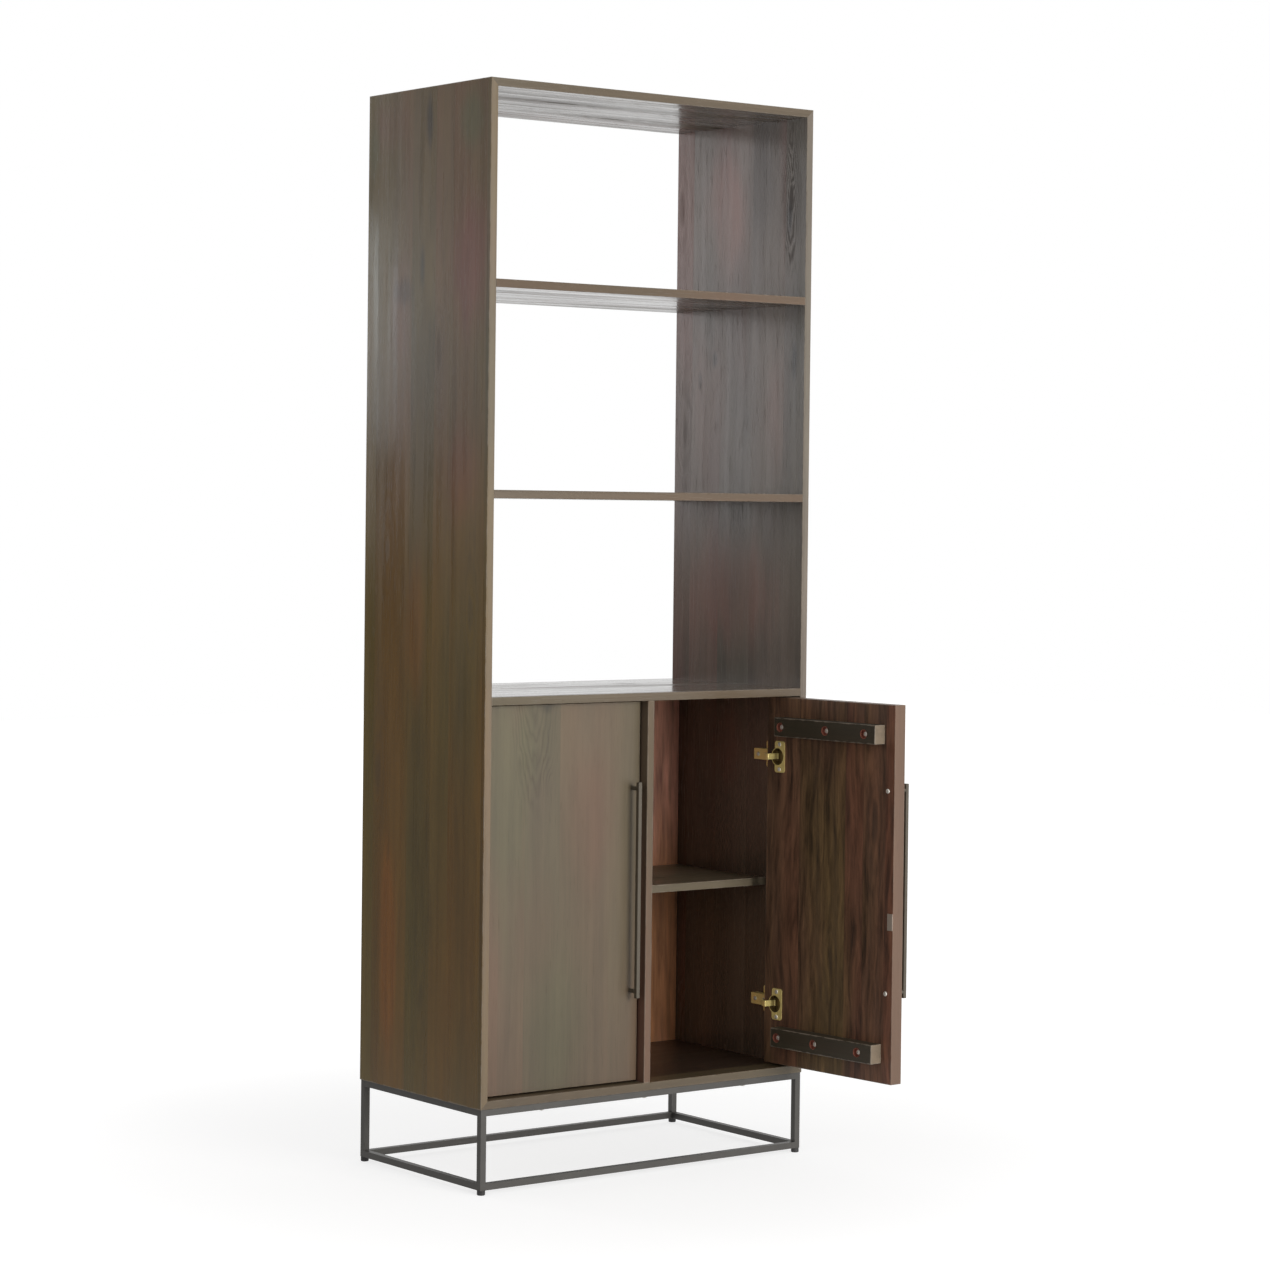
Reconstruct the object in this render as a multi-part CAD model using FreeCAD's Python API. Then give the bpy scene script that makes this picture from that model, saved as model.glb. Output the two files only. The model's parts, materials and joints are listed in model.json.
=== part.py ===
"""A tall wall unit: three open bays over a two-door cupboard on a slim steel base.

Millimetres. X runs across the width, Y from front to rear, Z up from the floor.
The origin is on the floor in the middle of the footprint, and the front faces -Y.
The left door is closed and the right door stands open, as in the reference.
"""
import FreeCAD, Part
import math
import os

V = FreeCAD.Vector
ALONG_X = V(1, 0, 0)
ALONG_Y = V(0, 1, 0)
ALONG_Z = V(0, 0, 1)

# Carcass; what the top bay is left with follows from the height
width = 750.0
depth = 400.0
height = 2000.0
panel = 15.0
cupboard_clear = 709.5
lower_bay_clear = 356.5
middle_bay_clear = 362.0
arris = 0.8
overrun = 2.0

# Mitred corners, each held by a loose tongue
tongue_thickness = 3.0
tongue_width = 9.0
tongue_end_inset = 40.0
tongue_clearance = 0.1

# Dowels that hold the shelves, the deck and the divider
dowel_radius = 4.0
dowel_in_end = 18.0
dowel_in_face = 10.0
dowel_inset = 70.0
dowel_clearance = 0.05
dowel_end_clearance = 0.5

# Back panel of the cupboard, let into grooves
back_thickness = 9.0
back_rear_inset = 15.0
groove_depth = 6.0
groove_clearance = 0.2

# Loose shelves inside the cupboard and their pins
inner_shelf_clear_below = 338.0
inner_shelf_setback = 97.0
inner_shelf_clearance = 1.0
pin_radius = 2.5
pin_in_panel = 6.5
pin_under_shelf = 9.0
pin_inset = 45.0
pin_clearance = 0.05

# Steel base
frame_height = 145.5
foot_height = 8.5
tube = 12.0
tube_wall = 1.5
frame_inset = 2.0

# Levelling feet and the threaded plugs that hold them
foot_radius = 7.5
foot_edge = 1.0
stem_radius = 3.0
stem_length = 18.0
stem_clearance = 0.08
plug_length = 14.0
plug_clearance = 0.05

# Screws that hold the base to the bottom panel
base_screw_count = 3
base_screw_end_inset = 140.0
base_screw_radius = 2.1
base_screw_head_radius = 4.5
base_screw_head_height = 2.4
base_screw_in_panel = 11.0
screw_clearance = 0.1

# Doors
door_thickness = 27.0
door_recess = 20.0
door_gap_hinge = 8.0
door_gap_latch = 2.5
door_gap_top = 2.0
door_gap_bottom = 3.5
door_open_angle = 94.0

# Battens across the inner face of each door
batten_thickness = 27.0
batten_height = 36.0
batten_from_end = 37.5
batten_latch_inset = 26.0
batten_hinge_inset = 46.0
upper_screw_shares = (0.11, 0.49, 0.94)
lower_screw_shares = (0.14, 0.57, 0.94)
batten_bore_radius = 8.5
batten_bore_depth = 7.0
batten_screw_radius = 2.5
batten_screw_head_radius = 5.0
batten_screw_head_height = 3.0
batten_screw_in_door = 16.0

# Bar handles
handle_length = 400.0
handle_section = 8.0
handle_reach = 25.0
handle_from_edge = 17.0
handle_from_top = 148.0
handle_arris = 0.7
post_radius = 4.0
post_from_end = 12.0
handle_screw_radius = 2.0
handle_screw_head_radius = 4.5
handle_screw_head_height = 2.2
handle_screw_in_post = 12.0

# Concealed hinges: the cup in the door and its knuckle pin
hinge_from_end = 114.5
cup_radius = 17.5
cup_wall = 1.2
cup_depth = 16.0
cup_from_edge = 29.0
cup_clearance = 0.15
flange_thickness = 1.2
flange_half_height = 30.0
flange_towards_edge = 7.0
flange_from_edge = 20.0
flange_corner = 5.0
knuckle_from_edge = 17.0
knuckle_below_face = 11.5
knuckle_pin_radius = 1.5
knuckle_eye_radius = 2.6
knuckle_clearance = 0.06
ear_inner = 7.3
ear_thickness = 2.0
ear_reach = 4.0
ear_rise = 3.5
cup_screw_offset = 6.0
cup_screw_height = 24.0
cup_screw_radius = 2.0
cup_screw_head_radius = 4.2
cup_screw_head_height = 1.6
cup_screw_in_door = 12.0

# Concealed hinges: the cranked arm, its plate and their screws
neck_clearance = 1.7
neck_thickness = 3.0
neck_width = 11.0
arm_rise = 17.0
arm_width = 21.0
arm_front_gap = 5.0
arm_length = 52.0
cheek_thickness = 1.5
cheek_foot_gap = 1.0
plate_clearance = 0.3
plate_end_inset = 4.0
wing_thickness = 2.0
wing_depth = 16.0
wing_half_height = 26.0
wing_corner = 5.0
plate_screw_height = 18.0
plate_screw_radius = 2.0
plate_screw_head_radius = 4.0
plate_screw_head_height = 1.6
plate_screw_in_panel = 11.0
arm_screw_inset = 13.0
arm_screw_radius = 2.5
arm_screw_head_radius = 4.0
arm_screw_head_height = 2.2
arm_screw_in_plate = 8.0

# Magnetic catches on the divider and the strike plates on the doors
strike_from_bottom = 301.5
strike_width = 13.0
strike_height = 31.0
strike_thickness = 1.0
strike_edge_inset = 0.8
strike_screw_radius = 1.5
strike_screw_head_radius = 2.6
strike_screw_in_door = 10.0
catch_gap = 0.5
catch_width = 14.0
catch_height = 30.0
catch_depth = 36.0
catch_arris = 1.5
magnet_width = 8.0
magnet_height = 20.0
magnet_depth = 12.0
magnet_clearance = 0.1
catch_screw_head_radius = 3.0
catch_screw_head_height = 0.9

# Levels and planes that the sizes above set
base_height = foot_height + frame_height
bottom_top = base_height + panel
deck_under = bottom_top + cupboard_clear
deck_top = deck_under + panel
middle_under = deck_top + lower_bay_clear
middle_top = middle_under + panel
upper_under = middle_top + middle_bay_clear
upper_top = upper_under + panel
top_under = height - panel
front = -depth / 2
rear = depth / 2
side_inner = width / 2 - panel
divider_face = panel / 2
back_rear = rear - back_rear_inset
back_front = back_rear - back_thickness
inner_shelf_under = bottom_top + inner_shelf_clear_below
inner_shelf_top = inner_shelf_under + panel
inner_shelf_front = front + inner_shelf_setback

# Planes of a closed right-hand door
door_left = divider_face + door_gap_latch
door_right = side_inner - door_gap_hinge
door_face = front + door_recess
door_back = door_face + door_thickness
door_bottom = bottom_top + door_gap_bottom
door_top = deck_under - door_gap_top
hinge_levels = (door_bottom + hinge_from_end, door_top - hinge_from_end)
batten_left = door_left + batten_latch_inset
batten_right = door_right - batten_hinge_inset
knuckle_x = door_right - knuckle_from_edge
knuckle_y = door_back - knuckle_below_face
cup_x = door_right - cup_from_edge
catch_level = door_bottom + strike_from_bottom


def box(low, high):
    """A plain block between two corners."""
    size = [high[i] - low[i] for i in range(3)]
    return Part.makeBox(size[0], size[1], size[2], V(*low))


def softened(low, high, edge):
    """A block with every edge taken off at 45 degrees."""
    block = box(low, high)
    return block.makeChamfer(edge, block.Edges)


def board(low, high, along):
    """A board whose four long edges are taken off at 45 degrees; its ends stay sharp."""
    a, b = [i for i in range(3) if i != along]
    section = [
        (low[a] + arris, low[b]),
        (high[a] - arris, low[b]),
        (high[a], low[b] + arris),
        (high[a], high[b] - arris),
        (high[a] - arris, high[b]),
        (low[a] + arris, high[b]),
        (low[a], high[b] - arris),
        (low[a], low[b] + arris),
    ]
    points = []
    for p, q in section:
        point = list(low)
        point[a] = p
        point[b] = q
        points.append(V(*point))
    push = [0, 0, 0]
    push[along] = high[along] - low[along]
    return Part.Face(Part.makePolygon(points + points[:1])).extrude(V(*push))


def rod(start, direction, radius, length):
    """A round rod from a point along a direction."""
    return Part.makeCylinder(radius, length, V(*start), direction)


def mirrored(shape):
    """The same piece on the other side of the unit."""
    return shape.mirror(V(0, 0, 0), ALONG_X)


def opened(shape):
    """A piece of the right-hand door, swung out about its knuckle pins."""
    turned = shape.copy()
    turned.rotate(V(knuckle_x, knuckle_y, 0), ALONG_Z, door_open_angle)
    return turned


def cut_all(shape, tools):
    """A shape less every tool of a list."""
    return shape.cut(Part.makeCompound(tools)) if tools else shape


def mitre_corners():
    """The outer corner lines of the carcass in front view, with their outward signs."""
    return [(sx, sx * width / 2, sz, z) for sx in (-1, 1) for sz, z in ((-1, base_height), (1, height))]


def mitre_wedge(corner, keeps_upright):
    """The half of a mitred corner that belongs to the other board."""
    sx, x, sz, z = corner
    outer = (x + sx * overrun, z + sz * overrun)
    inner = (x - sx * (panel + overrun), z - sz * (panel + overrun))
    third = (inner[0], outer[1]) if keeps_upright else (outer[0], inner[1])
    points = [V(px, front - overrun, pz) for px, pz in (outer, inner, third, outer)]
    return Part.Face(Part.makePolygon(points)).extrude(V(0, depth + 2 * overrun, 0))


def tongue(corner, clearance):
    """The loose tongue across a mitre, or its slot when it is given a clearance."""
    sx, x, sz, z = corner
    half_thickness = tongue_thickness / 2 + clearance
    half_width = tongue_width / 2 + clearance
    y0 = front + tongue_end_inset - clearance
    y1 = rear - tongue_end_inset + clearance
    blank = box((-half_width, y0, -half_thickness), (half_width, y1, half_thickness))
    blank.rotate(V(0, 0, 0), ALONG_Y, 45 * sx * sz)
    blank.translate(V(x - sx * panel / 2, 0, z - sz * panel / 2))
    return blank


def dowel_places():
    """Where each dowel starts in a face, and which way it runs into the board's end."""
    places = []
    for level in (deck_under + panel / 2, middle_under + panel / 2, upper_under + panel / 2):
        for sx in (-1, 1):
            for y in (front + dowel_inset, rear - dowel_inset):
                places.append(((sx * side_inner, y, level), V(-sx, 0, 0)))
    for level, way in ((bottom_top, ALONG_Z), (deck_under, V(0, 0, -1))):
        for y in (front + dowel_inset, back_front - dowel_inset):
            places.append(((0, y, level), way))
    return places


def dowel(place, radius_clearance, end_clearance):
    """One dowel across a joint, or its two holes when it is given clearances."""
    point, way = place
    start = V(*point) - way * (dowel_in_face + end_clearance)
    length = dowel_in_face + dowel_in_end + 2 * end_clearance
    return Part.makeCylinder(dowel_radius + radius_clearance, length, start, way)


def dowel_holes():
    return [dowel(place, dowel_clearance, dowel_end_clearance) for place in dowel_places()]


def back_panel_blank(clearance):
    """The cupboard's back, or the grooves round it when it is given a clearance."""
    reach = groove_depth - groove_clearance + clearance
    low = (-side_inner - reach, back_front - clearance, bottom_top - reach)
    high = (side_inner + reach, back_rear + clearance, deck_under + reach)
    return box(low, high)


def pin_places():
    """Each shelf pin's place on an upright face, and which way it sticks out."""
    level = inner_shelf_under - pin_radius
    places = []
    for y in (inner_shelf_front + pin_inset, back_front - pin_inset):
        for face, way in ((side_inner, -1), (divider_face, 1)):
            for sx in (-1, 1):
                places.append(((sx * face, y, level), V(sx * way, 0, 0)))
    return places


def shelf_pin(place, clearance):
    """A shelf pin, or its hole when it is given a clearance."""
    point, way = place
    start = V(*point) - way * (pin_in_panel + clearance)
    length = pin_in_panel + pin_under_shelf + clearance
    return Part.makeCylinder(pin_radius + clearance, length, start, way)


def pin_holes():
    return [shelf_pin(place, pin_clearance) for place in pin_places()]


def screw(start, direction, radius, length, head_radius, head_height):
    """A round-headed screw: the head stands on the start point, and the shank runs on from it."""
    head = Part.makeCone(
        head_radius, head_radius * 0.7, head_height, V(*start), direction * -1)
    return head.fuse(rod(start, direction, radius, length)).removeSplitter()


def base_screw_places():
    """The base screws, in rows under the front and rear top rails."""
    run = width - 2 * base_screw_end_inset
    line = depth / 2 - frame_inset - tube / 2
    places = []
    for y in (-line, line):
        for i in range(base_screw_count):
            x = -run / 2 + run * i / (base_screw_count - 1)
            places.append((x, y, base_height - tube))
    return places


def base_screw_holes(clearance):
    length = tube + base_screw_in_panel + clearance
    return [rod(p, ALONG_Z, base_screw_radius + clearance, length) for p in base_screw_places()]


def carcass():
    """The outer case, the shelves, the divider and the back, with their joints."""
    corners = mitre_corners()
    slots = [tongue(corner, tongue_clearance) for corner in corners]
    holes = dowel_holes()
    groove = back_panel_blank(groove_clearance)
    hinge_holes = plate_screw_holes()
    nodes = {}

    side = board((side_inner, front, base_height), (width / 2, rear, height), 2)
    wedges = [mitre_wedge(corner, True) for corner in corners]
    side = cut_all(side, wedges + slots + holes + [groove] + pin_holes() + hinge_holes)
    nodes["side_panel_right"] = side
    nodes["side_panel_left"] = mirrored(side)

    wedges = [mitre_wedge(corner, False) for corner in corners]
    top = board((-width / 2, front, top_under), (width / 2, rear, height), 0)
    nodes["top_panel"] = cut_all(top, wedges + slots)
    bottom = board((-width / 2, front, base_height), (width / 2, rear, bottom_top), 0)
    tools = wedges + slots + holes + [groove] + base_screw_holes(screw_clearance)
    nodes["bottom_panel"] = cut_all(bottom, tools)

    for name, under in (("upper_shelf", upper_under), ("middle_shelf", middle_under)):
        shelf = board((-side_inner, front, under), (side_inner, rear, under + panel), 0)
        nodes[name] = cut_all(shelf, holes)
    deck = board((-side_inner, front, deck_under), (side_inner, rear, deck_top), 0)
    nodes["deck_panel"] = cut_all(deck, holes + [groove])

    divider = board((-divider_face, front, bottom_top), (divider_face, back_front, deck_under), 2)
    catch_holes = [catch_screw_holes(), mirrored(catch_screw_holes())]
    nodes["centre_divider"] = cut_all(divider, holes + pin_holes() + catch_holes)
    nodes["back_panel"] = back_panel_blank(-groove_clearance)
    nodes["mitre_tongues"] = Part.makeCompound([tongue(corner, 0) for corner in corners])
    nodes["dowels"] = Part.makeCompound([dowel(place, 0, 0) for place in dowel_places()])
    nodes["shelf_pins"] = Part.makeCompound([shelf_pin(place, 0) for place in pin_places()])
    low = (divider_face + inner_shelf_clearance, inner_shelf_front, inner_shelf_under)
    high = (side_inner - inner_shelf_clearance, back_front - inner_shelf_clearance, inner_shelf_top)
    nodes["inner_shelf_right"] = board(low, high, 0)
    nodes["inner_shelf_left"] = mirrored(nodes["inner_shelf_right"])
    return nodes


def square_tube(low, high, along):
    """A length of square tube, open at both ends."""
    inner_low = [v + tube_wall for v in low]
    inner_high = [v - tube_wall for v in high]
    inner_low[along] = low[along] - overrun
    inner_high[along] = high[along] + overrun
    return box(low, high).cut(box(inner_low, inner_high))


def base():
    """The welded base: four legs, four top rails, four lower rails, and the plugs in the legs."""
    nodes = {}
    outer_x = width / 2 - frame_inset
    outer_y = depth / 2 - frame_inset
    screw_holes = base_screw_holes(screw_clearance)
    plugs = []
    for side, sx in (("left", -1), ("right", 1)):
        for end, sy in (("front", -1), ("rear", 1)):
            x0, x1 = sorted((sx * outer_x, sx * (outer_x - tube)))
            y0, y1 = sorted((sy * outer_y, sy * (outer_y - tube)))
            leg = square_tube((x0, y0, foot_height), (x1, y1, base_height), 2)
            nodes[f"leg_{end}_{side}"] = leg
            inset = tube_wall + plug_clearance
            plug = box((x0 + inset, y0 + inset, foot_height),
                       (x1 - inset, y1 - inset, foot_height + plug_length))
            centre = ((x0 + x1) / 2, (y0 + y1) / 2, foot_height)
            bore = rod(centre, ALONG_Z, stem_radius + stem_clearance, plug_length)
            plugs.append(plug.cut(bore))
    nodes["leg_plugs"] = Part.makeCompound(plugs)
    levels = (("upper", base_height - tube), ("lower", foot_height))
    for level, z in levels:
        for end, sy in (("front", -1), ("rear", 1)):
            y0, y1 = sorted((sy * outer_y, sy * (outer_y - tube)))
            reach = outer_x - tube
            rail = square_tube((-reach, y0, z), (reach, y1, z + tube), 0)
            nodes[f"{level}_rail_{end}"] = cut_all(rail, screw_holes) if level == "upper" else rail
        for side, sx in (("left", -1), ("right", 1)):
            x0, x1 = sorted((sx * outer_x, sx * (outer_x - tube)))
            reach = outer_y - tube
            nodes[f"{level}_rail_{side}"] = square_tube((x0, -reach, z), (x1, reach, z + tube), 1)
    screws = []
    for place in base_screw_places():
        screws.append(screw(place, ALONG_Z, base_screw_radius, tube + base_screw_in_panel,
                            base_screw_head_radius, base_screw_head_height))
    nodes["base_screws"] = Part.makeCompound(screws)
    return nodes


def foot(x, y):
    """A levelling foot: a round pad on a threaded stem, turned as one piece."""
    stem_top = foot_height + stem_length
    outline = [
        V(0, 0, 0),
        V(foot_radius - foot_edge, 0, 0),
        V(foot_radius, 0, foot_edge),
        V(foot_radius, 0, foot_height),
        V(stem_radius, 0, foot_height),
        V(stem_radius, 0, stem_top),
        V(0, 0, stem_top),
        V(0, 0, 0),
    ]
    turned = Part.Face(Part.makePolygon(outline)).revolve(V(0, 0, 0), ALONG_Z, 360)
    turned.translate(V(x, y, 0))
    return turned


def feet():
    line_x = width / 2 - frame_inset - tube / 2
    line_y = depth / 2 - frame_inset - tube / 2
    nodes = {}
    for side, sx in (("left", -1), ("right", 1)):
        for end, sy in (("front", -1), ("rear", 1)):
            nodes[f"foot_{end}_{side}"] = foot(sx * line_x, sy * line_y)
    return nodes


def batten_levels():
    """The underside of each batten and where its screws stand along it."""
    return (
        ("lower", door_bottom + batten_from_end, lower_screw_shares),
        ("upper", door_top - batten_from_end - batten_height, upper_screw_shares),
    )


def batten_screw_places(under, shares):
    run = batten_right - batten_left
    level = under + batten_height / 2
    head_y = door_back + batten_thickness - batten_bore_depth
    return [(batten_left + run * share, head_y, level) for share in shares]


def handle_levels():
    top = door_top - handle_from_top
    return (top - handle_length + post_from_end, top - post_from_end)


def hinge_cup(z):
    """A round cup with its flange and two ears for the knuckle pin."""
    bottom_y = door_back - cup_depth
    body = rod((cup_x, bottom_y, z), ALONG_Y, cup_radius, cup_depth)
    cavity = rod((cup_x, bottom_y + cup_wall, z), ALONG_Y, cup_radius - cup_wall, cup_depth + overrun)
    plate = box((cup_x - flange_from_edge, door_back, z - flange_half_height),
                (cup_x + flange_towards_edge, door_back + flange_thickness, z + flange_half_height))
    uprights = [e for e in plate.Edges if abs(e.tangentAt(e.FirstParameter).y) > 0.9]
    plate = plate.makeFillet(flange_corner, uprights)
    cup = body.fuse(plate).cut(cavity)
    ears = []
    for sz in (-1, 1):
        z0, z1 = sorted((z + sz * ear_inner, z + sz * (ear_inner + ear_thickness)))
        ear = box((knuckle_x - ear_reach, bottom_y + cup_wall / 2, z0),
                  (knuckle_x + ear_reach, knuckle_y + ear_rise, z1))
        ears.append(ear.common(rod((cup_x, bottom_y, z), ALONG_Y, cup_radius, cup_depth)))
    cup = cup.multiFuse(ears).removeSplitter()
    bore = rod((knuckle_x, knuckle_y, z - cup_radius), ALONG_Z, knuckle_pin_radius + knuckle_clearance / 3,
               2 * cup_radius)
    reach = ear_inner + ear_thickness
    bore = bore.common(box((knuckle_x - ear_reach, knuckle_y - ear_reach, z - reach),
                           (knuckle_x + ear_reach, knuckle_y + ear_reach, z + reach)))
    holes = [rod(p, ALONG_Y * -1, cup_screw_radius + screw_clearance, flange_thickness + overrun)
             for p in cup_screw_places(z)]
    return cut_all(cup, [bore] + holes)


def knuckle_pin(z):
    reach = ear_inner + ear_thickness
    return rod((knuckle_x, knuckle_y, z - reach), ALONG_Z, knuckle_pin_radius, 2 * reach)


def cup_screw_places(z):
    y = door_back + flange_thickness
    return [(cup_x - cup_screw_offset, y, z + sz * cup_screw_height) for sz in (-1, 1)]


def neck_radius():
    """The neck bends round the pin, just clear of the door's inner corner as it passes."""
    corner = math.hypot(knuckle_from_edge, knuckle_below_face)
    return corner + neck_clearance + neck_thickness / 2


def arm_line():
    """The arm's middle plane across the width, and where the bent neck meets it."""
    x = side_inner - arm_rise
    along = x - knuckle_x
    y = knuckle_y + math.sqrt(neck_radius() ** 2 - along ** 2)
    return x, y


def hinge_arm(z):
    """A channel on the side panel, with a cranked neck that carries the knuckle in the cup."""
    x, y = arm_line()
    radius = neck_radius()
    half = neck_thickness / 2
    low_z = z - neck_width / 2
    rear_y = y + arm_front_gap + arm_length
    web_low = z - arm_width / 2
    web = box((x - half, y + arm_front_gap, web_low), (x + half, rear_y, z + arm_width / 2))
    cheek_foot = side_inner - wing_thickness - cheek_foot_gap
    cheeks = []
    for sz in (-1, 1):
        z0, z1 = sorted((z + sz * arm_width / 2, z + sz * (arm_width / 2 - cheek_thickness)))
        cheeks.append(box((x + half, y + arm_front_gap, z0), (cheek_foot, rear_y, z1)))
    throat = box((x - half, y, low_z), (x + half, y + arm_front_gap, low_z + neck_width))
    bend = rod((x, y, low_z), ALONG_Z, half, neck_width)
    meet = math.degrees(math.atan2(y - knuckle_y, x - knuckle_x))
    ring = Part.makeCylinder(radius + half, neck_width, V(knuckle_x, knuckle_y, low_z), ALONG_Z, 180 - meet)
    ring = ring.cut(rod((knuckle_x, knuckle_y, low_z), ALONG_Z, radius - half, neck_width))
    ring.rotate(V(knuckle_x, knuckle_y, 0), ALONG_Z, meet)
    elbow = rod((knuckle_x - radius, knuckle_y, low_z), ALONG_Z, half, neck_width)
    spoke = box((knuckle_x - radius, knuckle_y - half, low_z),
                (knuckle_x, knuckle_y + half, low_z + neck_width))
    eye = rod((knuckle_x, knuckle_y, low_z), ALONG_Z, knuckle_eye_radius, neck_width)
    arm = web.multiFuse(cheeks + [throat, bend, ring, elbow, spoke, eye]).removeSplitter()
    bore = rod((knuckle_x, knuckle_y, low_z - overrun), ALONG_Z, knuckle_pin_radius + knuckle_clearance,
               neck_width + 2 * overrun)
    holes = [rod(p, ALONG_X, arm_screw_radius + screw_clearance, neck_thickness) for p in arm_screw_places(z)]
    return cut_all(arm, [bore] + holes)


def arm_screw_places(z):
    x, y = arm_line()
    start = y + arm_front_gap
    runs = (arm_screw_inset, arm_length - arm_screw_inset)
    return [(x - neck_thickness / 2, start + run, z) for run in runs]


def plate_middle():
    x, y = arm_line()
    return y + arm_front_gap + arm_length / 2


def plate_screw_places(z):
    x = side_inner - wing_thickness
    return [(x, plate_middle(), z + sz * plate_screw_height) for sz in (-1, 1)]


def plate_screw_holes():
    """Pilot holes in the right side panel for the hinge plates."""
    holes = []
    for z in hinge_levels:
        for place in plate_screw_places(z):
            holes.append(rod(place, ALONG_X, plate_screw_radius + screw_clearance,
                             plate_screw_in_panel + wing_thickness + screw_clearance))
    return holes


def hinge_plate(z):
    """A winged plate: a raised block inside the arm's channel, with two wings for the screws."""
    x, y = arm_line()
    half = arm_width / 2 - cheek_thickness - plate_clearance
    start = y + arm_front_gap + plate_end_inset
    end = y + arm_front_gap + arm_length - plate_end_inset
    block = box((x + neck_thickness / 2, start, z - half), (side_inner, end, z + half))
    middle = plate_middle()
    wings = box((side_inner - wing_thickness, middle - wing_depth / 2, z - wing_half_height),
                (side_inner, middle + wing_depth / 2, z + wing_half_height))
    uprights = [e for e in wings.Edges if abs(e.tangentAt(e.FirstParameter).x) > 0.9]
    wings = wings.makeFillet(wing_corner, uprights)
    plate = block.fuse(wings).removeSplitter()
    holes = [rod(p, ALONG_X, plate_screw_radius + screw_clearance, wing_thickness)
             for p in plate_screw_places(z)]
    for place in arm_screw_places(z):
        holes.append(rod(place, ALONG_X, arm_screw_radius + screw_clearance,
                         neck_thickness + arm_screw_in_plate + screw_clearance))
    return cut_all(plate, holes)


def hinges():
    """The fixed half of every hinge: the right-hand ones and their mirrors."""
    plates = [hinge_plate(z) for z in hinge_levels]
    arms = [hinge_arm(z) for z in hinge_levels]
    plate_screws = []
    arm_screws = []
    for z in hinge_levels:
        for place in plate_screw_places(z):
            plate_screws.append(screw(place, ALONG_X, plate_screw_radius,
                                      wing_thickness + plate_screw_in_panel,
                                      plate_screw_head_radius, plate_screw_head_height))
        for place in arm_screw_places(z):
            arm_screws.append(screw(place, ALONG_X, arm_screw_radius,
                                    neck_thickness + arm_screw_in_plate,
                                    arm_screw_head_radius, arm_screw_head_height))
    nodes = {}
    groups = {
        "hinge_plates": plates,
        "hinge_arms": arms,
        "hinge_plate_screws": plate_screws,
        "hinge_arm_screws": arm_screws,
    }
    for name, solids in groups.items():
        nodes[name] = Part.makeCompound(solids + [mirrored(solid) for solid in solids])
    return nodes


def catch_front():
    return door_back + strike_thickness + catch_gap


def catch_screw_places():
    """The two screws through the catch's body into the divider."""
    middle = catch_front() + catch_depth - magnet_depth
    x = divider_face + catch_width
    return [(x, middle, catch_level + sz * catch_height / 4) for sz in (-1, 1)]


def catch_screw_holes():
    """Pilot holes in the divider; each stops short of the middle."""
    depth_in = divider_face / 2
    holes = []
    for place in catch_screw_places():
        start = (divider_face, place[1], place[2])
        holes.append(rod(start, V(-1, 0, 0), strike_screw_radius + screw_clearance,
                         depth_in + screw_clearance))
    return Part.makeCompound(holes)


def catches():
    """Magnetic catches on both faces of the divider, level with the strike plates."""
    y0 = catch_front()
    low = (divider_face, y0, catch_level - catch_height / 2)
    high = (divider_face + catch_width, y0 + catch_depth, catch_level + catch_height / 2)
    middle_x = divider_face + catch_width / 2
    half = magnet_width / 2
    magnet = box((middle_x - half, y0, catch_level - magnet_height / 2),
                 (middle_x + half, y0 + magnet_depth, catch_level + magnet_height / 2))
    gap = magnet_clearance
    pocket = box((middle_x - half - gap, y0 - gap, catch_level - magnet_height / 2 - gap),
                 (middle_x + half + gap, y0 + magnet_depth + gap, catch_level + magnet_height / 2 + gap))
    body = softened(low, high, catch_arris).cut(pocket)
    screws = []
    holes = []
    for place in catch_screw_places():
        run = catch_width + divider_face / 2
        holes.append(rod(place, V(-1, 0, 0), strike_screw_radius + screw_clearance, catch_width))
        screws.append(screw(place, V(-1, 0, 0), strike_screw_radius, run,
                            catch_screw_head_radius, catch_screw_head_height))
    body = cut_all(body, holes)
    return {
        "catch_bodies": Part.makeCompound([body, mirrored(body)]),
        "catch_magnets": Part.makeCompound([magnet, mirrored(magnet)]),
        "catch_screws": Part.makeCompound(screws + [mirrored(s) for s in screws]),
    }


def strike_place():
    x = door_left + strike_edge_inset + strike_width / 2
    return (x, door_back + strike_thickness, catch_level)


def sunk_head(place, shank_radius, head_radius):
    """A countersunk head that fills the strike plate's thickness, flush with its face."""
    return Part.makeCone(head_radius, shank_radius, strike_thickness, V(*place), ALONG_Y * -1)


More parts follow.
